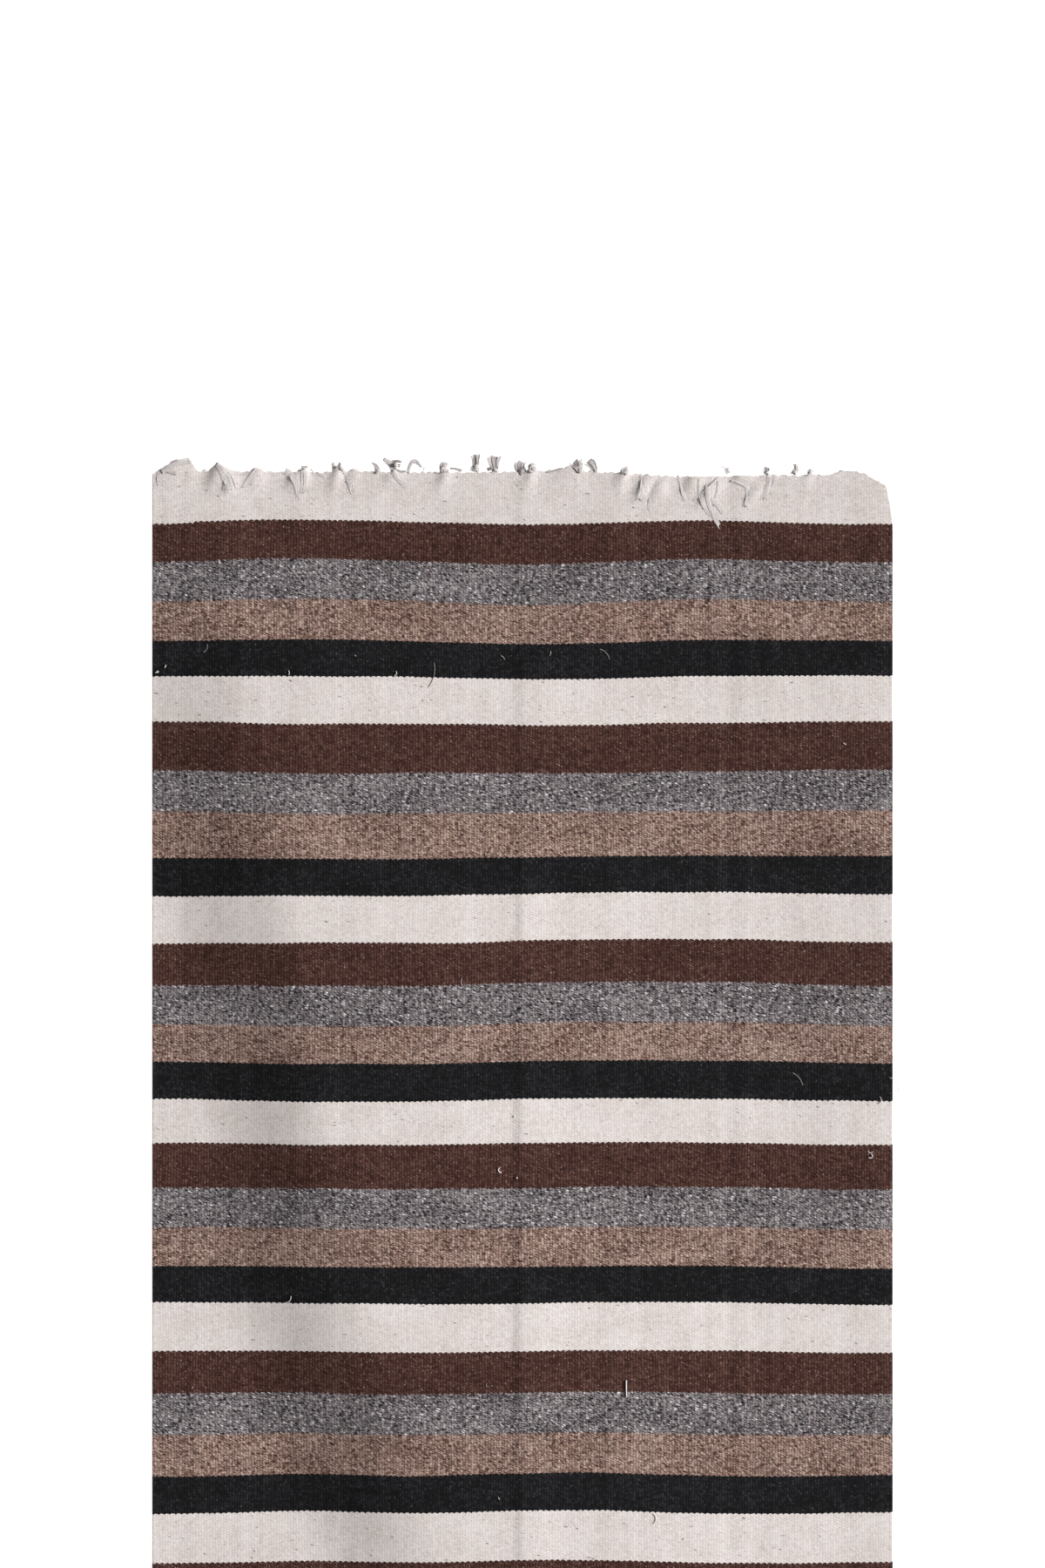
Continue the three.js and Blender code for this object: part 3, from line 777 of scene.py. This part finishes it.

# Each tuft, in millimetres across from the middle and along from the head line: where it starts, bends
# and ends, how many yarns it has, how wide it is at its start and at its end, how high it arches, which
# share of its yarns is darkened with painted shade for the shadowed gaps between them, and how thick they
# are
TUFTS = table(
    ("at", "by", "to", "yarns", "wide", "rise", "dark", "size"),
    ((-390, 2), (-375, -7), (-357, -12), 8, (5, 7), 1.6, 0.12, 0.85),
    ((-389, -1), (-383, 1), (-371, 4), 5, (2, 5), 1.0, 0.30, 0.75),
    ((-243, 1), (-241, 0), (-238, 1), 2, (1, 1), 0.5, 1.00, 0.90),
    ((-230, 0), (-228, -1), (-226, 1), 2, (1, 1), 0.5, 1.00, 0.90),
    ((-196, 0), (-193, 1), (-190, 4), 2, (1, 1), 0.5, 1.00, 0.90),
    ((-392, 2), (-393, 9), (-391, 17), 5, (3, 8), 0.8, 0.00, 0.70),
    ((-330, -7), (-321, 6), (-315, 23), 14, (4, 15), 1.2, 0.10, 0.80),
    ((-286, -2), (-294, 7), (-304, 20), 6, (4, 4), 0.8, 0.00, 0.65),
    ((-256, 2), (-247, 10), (-241, 33), 6, (9, 3), 0.7, 0.05, 0.70),
    ((-236, -5), (-235, 8), (-236, 25), 11, (7, 10), 1.2, 0.00, 0.80),
    ((-227, 3), (-219, 4), (-211, 8), 4, (2, 5), 0.7, 0.00, 0.70),
    ((-199, -6), (-191, 5), (-184, 24), 7, (3, 5), 1.0, 0.05, 0.75),
    ((-204, 0), (-204, -5), (-205, -9), 4, (3, 4), 1.6, 0.20, 0.70),
    ((-196, 0), (-197, -5), (-197, -9), 4, (3, 4), 1.6, 0.30, 0.70),
    ((-156, 2), (-158, -4), (-162, -9), 6, (7, 3), 1.0, 0.30, 0.75),
    ((-136, -6), (-143, -8), (-151, -13), 6, (3, 7), 1.0, 0.00, 0.75),
    ((-131, -9), (-137, -10), (-145, -8), 4, (3, 4), 1.0, 0.60, 0.70),
    ((-132, -5), (-138, -6), (-146, -6), 4, (4, 3), 1.0, 0.40, 0.70),
    ((-141, -5), (-137, 6), (-127, 20), 8, (7, 3), 0.6, 0.05, 0.75),
    ((-138, -2), (-132, 1), (-126, 1), 4, (3, 4), 0.6, 0.30, 0.70),
    ((-124, 3), (-118, -10), (-109, -4), 8, (4, 5), 1.0, 0.20, 0.70),
    ((-107, 2), (-106, -2), (-107, -4), 2, (1, 2), 0.5, 0.00, 0.70),
    ((-84, 2), (-85, -5), (-83, -9), 12, (10, 6), 3.0, 0.05, 0.85),
    ((-78, -2), (-70, -1), (-65, 1), 5, (2, 4), 0.6, 0.40, 0.75),
    ((-51, 0), (-50, -9), (-50, -18), 11, (5, 11), 1.2, 0.25, 0.75),
    ((-52, 1), (-51, -3), (-50, -6), 8, (10, 6), 1.6, 0.00, 0.80),
    ((-29, 1), (-31, -8), (-30, -16), 15, (7, 16), 1.2, 0.40, 0.75),
    ((-38, -1), (-35, -2), (-32, -3), 4, (4, 3), 0.8, 0.60, 0.80),
    ((0, 2), (-3, -4), (-1, -10), 12, (10, 13), 1.2, 0.40, 0.75),
    ((12, 1), (10, -4), (11, -8), 12, (10, 7), 2.8, 0.05, 0.85),
    ((25, 2), (38, 0), (52, -5), 2, (1, 2), 0.4, 0.50, 0.70),
    ((62, 2), (60, -5), (56, -10), 13, (6, 17), 1.2, 0.40, 0.75),
    ((79, 2), (76, -5), (71, -11), 11, (5, 13), 1.2, 0.40, 0.75),
    ((109, 3), (112, -1), (114, -5), 9, (9, 2), 1.6, 0.10, 0.80),
    ((128, 5), (129, 18), (126, 34), 8, (3, 8), 0.8, 0.00, 0.70),
    ((147, 12), (139, 26), (137, 47), 4, (4, 3), 0.7, 0.00, 0.65),
    ((168, 7), (172, 16), (176, 34), 5, (4, 7), 0.5, 0.00, 0.60),
    ((213, 7), (200, 19), (184, 33), 2, (2, 2), 2.4, 0.00, 1.10),
    ((191, 9), (193, 33), (205, 51), 4, (3, 3), 1.0, 0.00, 0.80),
    ((200, 16), (202, 38), (213, 63), 4, (5, 3), 1.4, 0.00, 1.00),
    ((199, 24), (207, 34), (219, 49), 3, (3, 5), 1.0, 0.00, 0.90),
    ((211, 12), (211, 24), (205, 40), 4, (3, 6), 1.2, 0.00, 0.80),
    ((224, 12), (234, 13), (247, 20), 4, (2, 7), 1.2, 0.00, 1.10),
    ((240, 17), (243, 27), (240, 41), 3, (2, 5), 0.5, 0.00, 0.60),
    ((223, 3), (219, -2), (214, -5), 2, (2, 2), 0.6, 0.00, 0.60),
    ((223, 3), (221, 0), (223, -3), 4, (6, 3), 0.6, 0.00, 0.60),
    ((263, 4), (265, -3), (263, 3), 7, (5, 7), 2.0, 0.50, 0.80),
    ((265, 4), (266, 14), (260, 32), 7, (5, 6), 0.8, 0.05, 0.70),
    ((272, 8), (271, 16), (266, 26), 3, (2, 3), 0.6, 0.00, 0.65),
    ((293, 4), (296, -2), (294, -7), 7, (7, 4), 1.4, 0.10, 0.80),
    ((311, 3), (311, 0), (310, -1), 8, (7, 4), 1.6, 0.00, 0.80),
)

# Knots at the edge, in millimetres and degrees: where each sits, how thick it is, and which way its
# yarns leave it
KNOTS = table(
    ("at", "size", "heading"),
    ((-236, 0), 4.5, 90),
    ((-157, 2), 5.0, 100),
    ((-137, -6), 5.5, 170),
    ((-84, -3), 6.0, 85),
    ((-50, -4), 5.5, 90),
    ((-29, 0), 5.5, 88),
    ((0, 1), 5.5, 95),
    ((12, -2), 6.0, 90),
    ((62, 1), 5.0, 110),
    ((79, 1), 5.0, 115),
    ((108, 2), 5.0, 70),
    ((264, 2), 4.5, 85),
    ((294, 2), 5.0, 85),
    ((311, 2), 4.5, 90),
)

# One yarn, in millimetres: the steps along it and the sides around it, how nearly upright it may start,
# how its cut end tapers, where its fibres start, how far it is pressed flat where it stands out and
# where it is laid back, and how much one yarn differs from the next
FLOOR_GAP = 0.1
YARN_SIDES = 8
YARN_STEP = 1.3
LEAST_STEPS = 8
NEAR_UPRIGHT = 0.1
CUT_LENGTH = 2.5
CUT_TAPER = 0.45
MARKS = 977
MARK_STEP = 0.0137
YARN_SQUASH = 0.32
LAID_SQUASH = 0.18
YARN_THICKNESS = (0.7, 1.15)
YARN_SPILL = 0.7
YARN_REACH = (0.86, 1.03)
YARN_WAVES = (3, 7)
WAVE_SIZE = 0.25
ANY_TURN = 6
# How far a yarn in painted shade is darkened, and how far the plain yarns may vary in tone
SHADED_YARN_TONE = (0.5, 1.0)
PLAIN_YARN_TONE = (0, 0.25)

# The rise of a tuft, as shares of its arch. A short tuft, in millimetres, is headed as its bend lies.
ARCH_START = 0.15
LAID_ARCH = 0.25
OPEN_ARCH = 0.7
ARCH_FALL = 1.2
YARN_RISE = (0.6, 1.0)
YARN_SINK = 0.7
SHORT_TUFT = 3

# The flat lock of loose fibre that the yarns of a tuft lie in, as shares of the tuft's size
LOCK_SIDES = 12
LOCK_HEIGHT = 0.12
LOCK_REACH = 0.93
LOCK_WIDTH = 0.46
LOCK_NECK = 0.15
LOCK_SINK = 0.6
# The lock under a tuft is darkened by this share of the tuft's shaded yarns, as painted shade between its
# strands
LOCK_SHADE = 0.8

# A knot has two layers of turns. Their sizes are shares of its own, and its seat is a share of the
# cloth's height.
KNOT_TURNS = 1.6
KNOT_STEPS = 26
KNOT_LENGTH = 0.5
KNOT_BACK = 0.7
KNOT_WIDTH = 0.24
KNOT_BULGE = 0.04
KNOT_BULGES = 7
KNOT_FLATNESS = 0.5
KNOT_SQUASH = 0.8
KNOT_SEAT = 0.6
KNOT_LIFT = 0.3
KNOT_SHADE = (0.1, 0.4)

# Bits of the last picks of weft, and short hairs, worked loose along an edge, in metres
PICKS = 260
PICK_ROW = (-0.394, 0.384)
PICK_ENDS = (-0.398, 0.386)
PICK_STEPS = 9
PICK_LENGTH = (0.0025, 0.008)
PICK_BULGE = (-0.0003, 0.0013)
PICK_INSET = (0.0002, 0.0016)
PICK_SIZE = (0.0005, 0.0009)
PICK_SEAT = 0.75
PICK_LIFT = 0.4
PICK_SQUASH = 0.5
PICK_SHADE = (0.0, 0.12)

# The steps of a pick that ends at a selvedge creep on by this, so that each keeps a length
PICK_CREEP = 0.0001
HAIRS = 1100
HAIR_ROW = (-0.396, 0.385)
HAIR_STEPS = 5
HAIR_INSET = (-0.0004, 0.0012)
HAIR_TURN = 0.9
HAIR_LENGTH = 2.4 * MILLI
HAIR_SHORTEST = 0.3
HAIR_EVENNESS = 1.5
HAIR_BEND = 0.35
HAIR_ROOT = 0.0020
HAIR_TIP = (0.0006, 0.0032)
HAIR_RADIUS = 0.26 * MILLI / 2
HAIR_SHADE = (0.0, 0.6)

# How steeply what a warp end lies on falls from the cloth's face to the floor, in metres
EDGE_OUTSIDE = 0.002
EDGE_RUN = 0.003

# The yarn's shades and how they follow its fibres. The turn of its plies and the run of its fibres are
# in millimetres.
# The dark shade is both the dark tone of lint and hairs and the painted shade of the tufts' shaded yarns
# and locks
YARN_SHADES = {"dull": (206, 196, 193), "pale": (242, 236, 234), "soil_and_shade": (104, 94, 92)}
PLY_TURN = 2.6
PLY_RELIEF = 0.4
YARN_FIBRES = {"Length": 7.0, "Width": 0.55, "Lean": 0.12}
PALE_CHANGE = 2.6
PALE_START = -0.8
YARN_EVENNESS = 0.7
YARN_RELIEF = 0.25
YARN_DEPTH = 0.0002
YARN_ROUGHNESS = 0.8
YARN_GLOW = 0.35
GLOW_DEPTH = 0.0004


def ground_at(x, along):
    """Height of what lies under a warp end: the cloth's face, or the floor past its edge."""
    past_head = smooth((along - drop_at(x) + EDGE_OUTSIDE) / EDGE_RUN)
    on_cloth = past_head * smooth((foot_at(x) + EDGE_OUTSIDE - along) / EDGE_RUN)
    return on_cloth * (cloth_lift(x, along) + CLOTH_THICKNESS)


def bend(start, middle, end, count):
    """Places along a soft bend through three points."""
    start, middle, end = (np.array(point, dtype=float) for point in (start, middle, end))
    t = np.linspace(0, 1, count)[:, None]
    pull = 2 * middle - (start + end) / 2
    return (1 - t) ** 2 * start + 2 * t * (1 - t) * pull + t**2 * end


class Yarns:
    """Round yarns gathered in one mesh, with each yarn's run, side, ply and shade as attributes."""

    def __init__(self):
        self.points = []
        self.faces = []
        self.carried = {"run": [], "side": [], "ply_a": [], "ply_b": [], "shade": []}

    def add(self, path, radius, shade_share=0.0, sides=YARN_SIDES, squash=1.0):
        """Adds a yarn along a path, rounded off at its cut end and pressed flat by squash."""
        path = np.array(path)
        radius = np.broadcast_to(radius, len(path))
        squash = np.broadcast_to(squash, len(path))
        steps = np.linalg.norm(np.diff(path, axis=0), axis=1)
        run = np.concatenate([[0], np.cumsum(steps)])
        ahead = np.gradient(path, axis=0)
        ahead /= np.linalg.norm(ahead, axis=1)[:, None]
        side = np.cross(ahead[0], (0, 0, 1.0))
        if np.linalg.norm(side) < NEAR_UPRIGHT:
            side = np.cross(ahead[0], (1.0, 0, 0))
        angles = np.arange(sides) * 2 * math.pi / sides
        taper = np.clip((run[-1] - run) / (CUT_LENGTH * radius), 0, 1) * CUT_TAPER + (1 - CUT_TAPER)
        base = len(self.points)
        mark = (base % MARKS) * MARK_STEP
        for place, facing, far, thick, press in zip(path, ahead, run, taper * radius, squash, strict=True):
            side = side - facing * side.dot(facing)
            side /= np.linalg.norm(side)
            over = np.cross(facing, side)
            for angle in angles:
                out = (math.cos(angle) * side + math.sin(angle) * over) * thick
                point = place + out * np.array([1, 1, press])
                point[2] = max(point[2], FLOOR_GAP * MILLI)
                self.points.append(point)
                self.carried["ply_a"].append(math.cos(2 * angle))
                self.carried["ply_b"].append(math.sin(2 * angle))
                self.carried["side"].append(math.cos(angle) * thick + mark)
            self.carried["run"] += [far] * sides
            self.carried["shade"] += [shade_share] * sides
        for ring in range(len(path) - 1):
            low = base + ring * sides
            for k in range(sides):
                beside = (k + 1) % sides
                self.faces.append((low + k, low + beside, low + sides + beside, low + sides + k))
        last = base + (len(path) - 1) * sides
        self.faces.append(tuple(base + k for k in reversed(range(sides))))
        self.faces.append(tuple(last + k for k in range(sides)))

    def made(self, name, material):
        """The gathered yarns as one piece."""
        mesh = bpy.data.meshes.new(name)
        mesh.from_pydata([tuple(point) for point in self.points], [], self.faces)
        for attribute, values in self.carried.items():
            mesh.attributes.new(attribute, "FLOAT", "POINT").data.foreach_set("value", values)
        mesh.shade_smooth()
        mesh.materials.append(material)
        return placed(name, mesh)


def laid_path(flat_path, half_height, rise):
    """A yarn's path on what lies under it, given its places across and along."""
    across, along = flat_path[:, 0], flat_path[:, 1]
    arch = rise * np.sin(np.linspace(ARCH_START, 1, len(flat_path)) * math.pi)
    height = ground_at(across, along) + half_height + np.maximum(arch, 0)
    return np.stack([across, HEAD_LINE - along, height], -1)


def add_lock(yarns, start, middle, end, widths, shade_share, rise):
    """Adds the flat lock of loose fibre that a group of yarns lies in."""
    count = max(LEAST_STEPS, int(np.linalg.norm(end - start) / (YARN_STEP * MILLI)))
    path = bend(start, middle, start + (end - start) * LOCK_REACH, count)
    width = np.interp(np.linspace(0, 1, count), [0, LOCK_NECK, 1], np.array(widths)[[0, 0, 1]])
    half_width = width * LOCK_WIDTH
    half_height = LOCK_HEIGHT * MILLI
    lying = laid_path(path, half_height * LOCK_SINK, rise * LOCK_SINK)
    yarns.add(lying, half_width, shade_share, sides=LOCK_SIDES, squash=half_height / half_width)


def add_tuft(yarns, dice, row):
    """Adds a group of yarns that start close together and spread to their cut ends."""
    start, middle, end = (np.array(row[key]) * MILLI for key in ("at", "by", "to"))
    heading = end - start if np.linalg.norm(end - start) > SHORT_TUFT * MILLI else middle - start
    aside = np.array([heading[1], -heading[0]]) / np.linalg.norm(heading)
    length = np.linalg.norm(middle - start) + np.linalg.norm(end - middle)
    count = max(LEAST_STEPS, int(length / (YARN_STEP * MILLI)))
    narrow, wide = (width * MILLI for width in row["wide"])
    laid_back = 0 < row["to"][1] * MILLI < CLOTH_LENGTH
    arch = row["rise"] * MILLI * (LAID_ARCH if laid_back else OPEN_ARCH)
    press = LAID_SQUASH if laid_back else YARN_SQUASH
    # The lock is darkened with painted shade by the tuft's share of shaded yarns
    if row["yarns"] > 2:
        add_lock(yarns, start, middle, end, (narrow, wide), row["dark"] * LOCK_SHADE, arch)
    for number in range(row["yarns"]):
        share = (number + 0.5) / row["yarns"] - 0.5
        radius = row["size"] * MILLI * 0.5 * dice.uniform(*YARN_THICKNESS)
        spill = dice.uniform(-YARN_SPILL, YARN_SPILL) * MILLI
        reach = dice.uniform(*YARN_REACH)
        first = start + aside * share * narrow
        second = middle + aside * (share * (narrow + wide) / 2 + spill * 0.5)
        third = start + (end - start) * reach + aside * (share * wide + spill)
        path = bend(first, second, third, count)
        wave = np.sin(np.linspace(0, dice.uniform(*YARN_WAVES), count) + dice.uniform(0, ANY_TURN))
        path = path + aside * (wave * WAVE_SIZE * MILLI)[:, None]
        rise = arch * (1 - ARCH_FALL * abs(share)) * dice.uniform(*YARN_RISE)
        # A share of the yarns is darkened with painted shade for the shadowed gaps, and the others vary a
        # little in tone
        dark = dice.uniform(*SHADED_YARN_TONE) if dice.random() < row["dark"] else dice.uniform(*PLAIN_YARN_TONE)
        lying = laid_path(path, (LOCK_HEIGHT * MILLI + radius * press) * YARN_SINK, rise)
        yarns.add(lying, radius, dark, squash=press)


def add_knot(yarns, dice, row):
    """Adds the tight turns of a knot, set against the last weft."""
    across, along = (value * MILLI for value in row["at"])
    size = row["size"] * MILLI
    heading = math.radians(row["heading"])
    axis = np.array([math.cos(heading), math.sin(heading), 0])
    aside = np.array([-axis[1], axis[0], 0])
    ground = float(ground_at(np.array([across]), np.array([along]))[0])
    centre = np.array([across, HEAD_LINE - along, ground * KNOT_SEAT + size * KNOT_LIFT])
    t = np.linspace(0, 1, KNOT_STEPS)
    for layer in range(2):
        angle = t * KNOT_TURNS * 2 * math.pi + dice.uniform(0, ANY_TURN)
        wide = size * (KNOT_WIDTH + KNOT_BULGE * np.sin(t * KNOT_BULGES + layer))
        path = centre + axis * ((t - 0.5) * size * (KNOT_LENGTH - KNOT_BACK * layer))[:, None]
        path = path + aside * (np.cos(angle) * wide)[:, None]
        path = path + np.array([0, 0, 1]) * (np.sin(angle) * wide * KNOT_FLATNESS)[:, None]
        yarns.add(path, size * KNOT_WIDTH, dice.uniform(*KNOT_SHADE), squash=KNOT_SQUASH)


def add_edge_picks(yarns, dice, count, edge_at, out):
    """Adds bits of the last picks of weft. The way out of the edge is -1 at the head, 1 at the foot."""
    for _ in range(count):
        middle = dice.uniform(*PICK_ROW)
        across = np.linspace(middle, middle + dice.uniform(*PICK_LENGTH), PICK_STEPS)
        across = np.clip(across, *PICK_ENDS) + np.linspace(0, PICK_CREEP, PICK_STEPS)
        bulge = np.sin(np.linspace(0, math.pi, PICK_STEPS)) * dice.uniform(*PICK_BULGE)
        along = edge_at(across) - out * (dice.uniform(*PICK_INSET) - bulge)
        size = dice.uniform(*PICK_SIZE)
        height = ground_at(across, along) * PICK_SEAT + size * PICK_LIFT
        path = np.stack([across, HEAD_LINE - along, height], -1)
        yarns.add(path, size, dice.uniform(*PICK_SHADE), squash=PICK_SQUASH)


def add_hairs(yarns, dice, count, edge_at, out):
    """Adds the short hairs that stand out of an edge's last wefts, with the same way out."""
    for _ in range(count):
        across = dice.uniform(*HAIR_ROW)
        edge = float(edge_at(np.array([across]))[0])
        start = np.array([across, edge - out * dice.uniform(*HAIR_INSET)])
        turn = dice.gauss(0, HAIR_TURN)
        reach = HAIR_LENGTH * dice.uniform(HAIR_SHORTEST, 1.0) ** HAIR_EVENNESS
        end = start + reach * np.array([math.sin(turn), out * math.cos(turn)])
        aside = np.array([dice.uniform(-1, 1), dice.uniform(-1, 1)])
        path = bend(start, (start + end) / 2 + aside * HAIR_BEND * reach, end, HAIR_STEPS)
        height = np.linspace(HAIR_ROOT, dice.uniform(*HAIR_TIP), HAIR_STEPS)
        path = np.stack([path[:, 0], HEAD_LINE - path[:, 1], height], -1)
        yarns.add(path, HAIR_RADIUS, dice.uniform(*HAIR_SHADE), sides=3)


glow = {"Subsurface Weight": YARN_GLOW, "Subsurface Radius": (1, 1, 1), "Subsurface Scale": GLOW_DEPTH}
warp_yarn, tree, surface = matt_material("undyed_warp_yarn", glow)
run = carried_value(tree, "run")
turn = calc(tree, "MULTIPLY", run, 2 * math.pi / (PLY_TURN * MILLI))
ply_a = calc(tree, "MULTIPLY", carried_value(tree, "ply_a"), calc(tree, "COSINE", turn))
ply_b = calc(tree, "MULTIPLY", carried_value(tree, "ply_b"), calc(tree, "SINE", turn))
ply = calc(tree, "ADD", ply_a, ply_b)
run_mm = calc(tree, "MULTIPLY", run, 1000)
side_mm = calc(tree, "MULTIPLY", carried_value(tree, "side"), 1000)
place = joined(tree, run_mm, side_mm)
fibres = wire(tree, "ShaderNodeGroup", {"Place": place, **YARN_FIBRES}, node_tree=FIBRES)
fibre = fibres.outputs["Fibre"]
pale = calc(tree, "MULTIPLY_ADD", fibre, PALE_CHANGE, PALE_START, clamp=True)
coloured = blended(tree, pale, shade(*YARN_SHADES["dull"]), shade(*YARN_SHADES["pale"]))
# Each yarn is darkened towards the dark shade by its carried share: painted shade on the tufts' shaded
# yarns and locks, and darker tone on knots, picks, hairs and lint
soil_and_shade = calc(tree, "MULTIPLY", carried_value(tree, "shade"), 1.0, clamp=True)
coloured = blended(tree, soil_and_shade, coloured, shade(*YARN_SHADES["soil_and_shade"]))
tree.links.new(coloured, surface.inputs["Base Color"])
upward = {"Strength": YARN_EVENNESS, "Color": (0.5, 0.5, 1, 1)}
evened = wire(tree, "ShaderNodeNormalMap", upward, space="OBJECT").outputs[0]
twist = calc(tree, "MULTIPLY_ADD", ply, PLY_RELIEF, fibre)
relief = {"Strength": YARN_RELIEF, "Distance": YARN_DEPTH, "Height": twist, "Normal": evened}
tree.links.new(wire(tree, "ShaderNodeBump", relief).outputs[0], surface.inputs["Normal"])
rough = calc(tree, "MULTIPLY_ADD", fibre, ROUGHNESS_CHANGE, YARN_ROUGHNESS)
tree.links.new(rough, surface.inputs["Roughness"])

dice = random.Random(4)
head_yarns = Yarns()
for row in TUFTS:
    add_tuft(head_yarns, dice, row)
for row in KNOTS:
    add_knot(head_yarns, dice, row)
add_edge_picks(head_yarns, dice, PICKS, drop_at, out=-1)
add_hairs(head_yarns, dice, HAIRS, drop_at, out=-1)
head_fringe = head_yarns.made("head_warp_ends", warp_yarn)
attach(head_fringe, "root")
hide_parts("fringe_head")

# Lint and stray fibres lie on the cloth: broken hairs, curled ends of warp yarn and bits of fluff that
# the weaving left behind. Places and sizes are in millimetres: across, and along from the head line.
STRAYS = table(
    ("at", "length", "heading", "curl", "size", "dark"),
    ((112, 980), 20, 92, -0.1, 1.1, 0.0),
    ((376, 738), 9, 20, 3.6, 0.7, 0.0),
    ((378, 735), 7, 100, 2.8, 0.6, 0.1),
    ((394, 655), 24, 12, 1.6, 0.5, 0.4),
    ((385, 676), 11, 30, 2.4, 0.6, 0.3),
    ((-96, 206), 30, 75, 0.9, 0.4, 0.6),
    ((-24, 200), 7, 20, 0.8, 0.5, 0.4),
    ((30, 195), 6, 60, 1.4, 0.5, 0.4),
    ((-137, 217), 7, 35, 2.6, 0.7, 0.2),
    ((-393, 217), 4, 140, 0.6, 1.5, 0.0),
    ((-385, 210), 4, 100, 0.4, 0.9, 0.3),
    ((-341, 187), 12, 60, 1.8, 0.4, 0.7),
    ((-253, 216), 6, 40, 1.5, 0.7, 0.3),
    ((-22, 757), 9, 160, 3.0, 0.8, 0.0),
    ((-6, 762), 2, 90, 0.0, 1.4, 0.0),
    ((42, 1003), 12, 120, 2.2, 0.5, 0.1),
    ((-345, 131), 6, 0, 0.3, 0.7, 0.1),
    ((290, 650), 20, 20, 1.0, 0.4, 0.6),
    ((82, 193), 18, 10, 1.2, 0.4, 0.6),
    ((-60, 560), 15, 200, 1.6, 0.4, 0.4),
    ((140, 1125), 14, 30, 2.0, 0.5, 0.1),
    ((-250, 890), 12, 75, 1.8, 0.5, 0.1),
    ((205, 1480), 16, 110, 1.4, 0.5, 0.1),
    ((-180, 1730), 14, 20, 2.2, 0.6, 0.2),
    ((60, 2105), 18, 60, 1.3, 0.5, 0.1),
    ((-300, 2310), 12, 130, 2.6, 0.6, 0.1),
)
STRAY_STEPS = 14
STRAY_SIDES = 5
STRAY_RADIUS = 0.8
STRAY_SEAT = 0.8
LINT_BITS = 70
LINT_ROW = (-390, 390)
LINT_START = 60 * MILLI
LINT_LENGTH = (1.5, 5)
LINT_CURL = (-2, 2)
LINT_SIZE = (0.25, 0.6)
LINT_SHADE = (0, 0.4)


def add_stray(yarns, row):
    """Adds one curled fibre that lies on the cloth's face."""
    turn = math.radians(row["heading"]) + np.linspace(0, row["curl"], STRAY_STEPS)
    step = row["length"] * MILLI / STRAY_STEPS
    across = row["at"][0] * MILLI + np.cumsum(np.cos(turn)) * step
    along = row["at"][1] * MILLI + np.cumsum(np.sin(turn)) * step
    size = row["size"] * MILLI * STRAY_RADIUS
    height = cloth_lift(across, along) + CLOTH_THICKNESS + size * STRAY_SEAT
    path = np.stack([across, HEAD_LINE - along, height], -1)
    yarns.add(path, size, row["dark"], sides=STRAY_SIDES)


dice = random.Random(21)
stray_yarns = Yarns()
for row in STRAYS:
    add_stray(stray_yarns, row)
for _ in range(LINT_BITS):
    across = dice.uniform(*LINT_ROW)
    bit = {"at": (across, dice.uniform(LINT_START, CLOTH_LENGTH - LINT_START) / MILLI)}
    bit["length"] = dice.uniform(*LINT_LENGTH)
    bit["heading"] = dice.uniform(0, 360)
    bit["curl"] = dice.uniform(*LINT_CURL)
    bit["size"] = dice.uniform(*LINT_SIZE)
    bit["dark"] = dice.uniform(*LINT_SHADE)
    add_stray(stray_yarns, bit)
lint = stray_yarns.made("loose_fibres", warp_yarn)
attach(lint, "root")

# The foot's warp ends are undyed plied yarn too, knotted and cut short in the same way, but they lie
# combed out on the floor. Sizes are in millimetres, and pairs of them are the least and the most.
FOOT_TUFTS = 30
FOOT_ROW = 780
FOOT_YARNS = (5, 9)
FOOT_REACH = (11, 17)
FOOT_SWAY = (-5, 5)
FOOT_STRAY = (-4, 4)
FOOT_SPREAD = (5, 11)
FOOT_NARROW = 4
FOOT_KNOT = (3.8, 5.2)
FOOT_HEADING = (65, 115)
# A share of the foot's yarns is darkened with painted shade as well
FOOT_TUFT = {"rise": 1.0, "dark": 0.15, "size": 0.85}

# Where a tuft bends, as a share of its sway and of its reach
FOOT_BEND = (0.3, 0.5)
FOOT_PICKS = 130
FOOT_HAIRS = 500

dice = random.Random(9)
foot_yarns = Yarns()
foot_line = CLOTH_LENGTH / MILLI
aside_share, along_share = FOOT_BEND
for number in range(FOOT_TUFTS):
    across = ((number + 0.5) / FOOT_TUFTS - 0.5) * FOOT_ROW + dice.uniform(*FOOT_STRAY)
    reach = dice.uniform(*FOOT_REACH)
    sway = dice.uniform(*FOOT_SWAY)
    tuft = {"at": (across, foot_line - 1), "yarns": dice.randint(*FOOT_YARNS), **FOOT_TUFT}
    tuft["by"] = (across + sway * aside_share, foot_line + reach * along_share)
    tuft["to"] = (across + sway, foot_line + reach)
    tuft["wide"] = (FOOT_NARROW, dice.uniform(*FOOT_SPREAD))
    add_tuft(foot_yarns, dice, tuft)
    knot = {"at": (across, foot_line + 1)}
    knot["size"] = dice.uniform(*FOOT_KNOT)
    knot["heading"] = dice.uniform(*FOOT_HEADING)
    add_knot(foot_yarns, dice, knot)
add_edge_picks(foot_yarns, dice, FOOT_PICKS, foot_at, out=1)
add_hairs(foot_yarns, dice, FOOT_HAIRS, foot_at, out=1)
foot_fringe = foot_yarns.made("foot_warp_ends", warp_yarn)
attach(foot_fringe, "root")
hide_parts("fringe_foot")
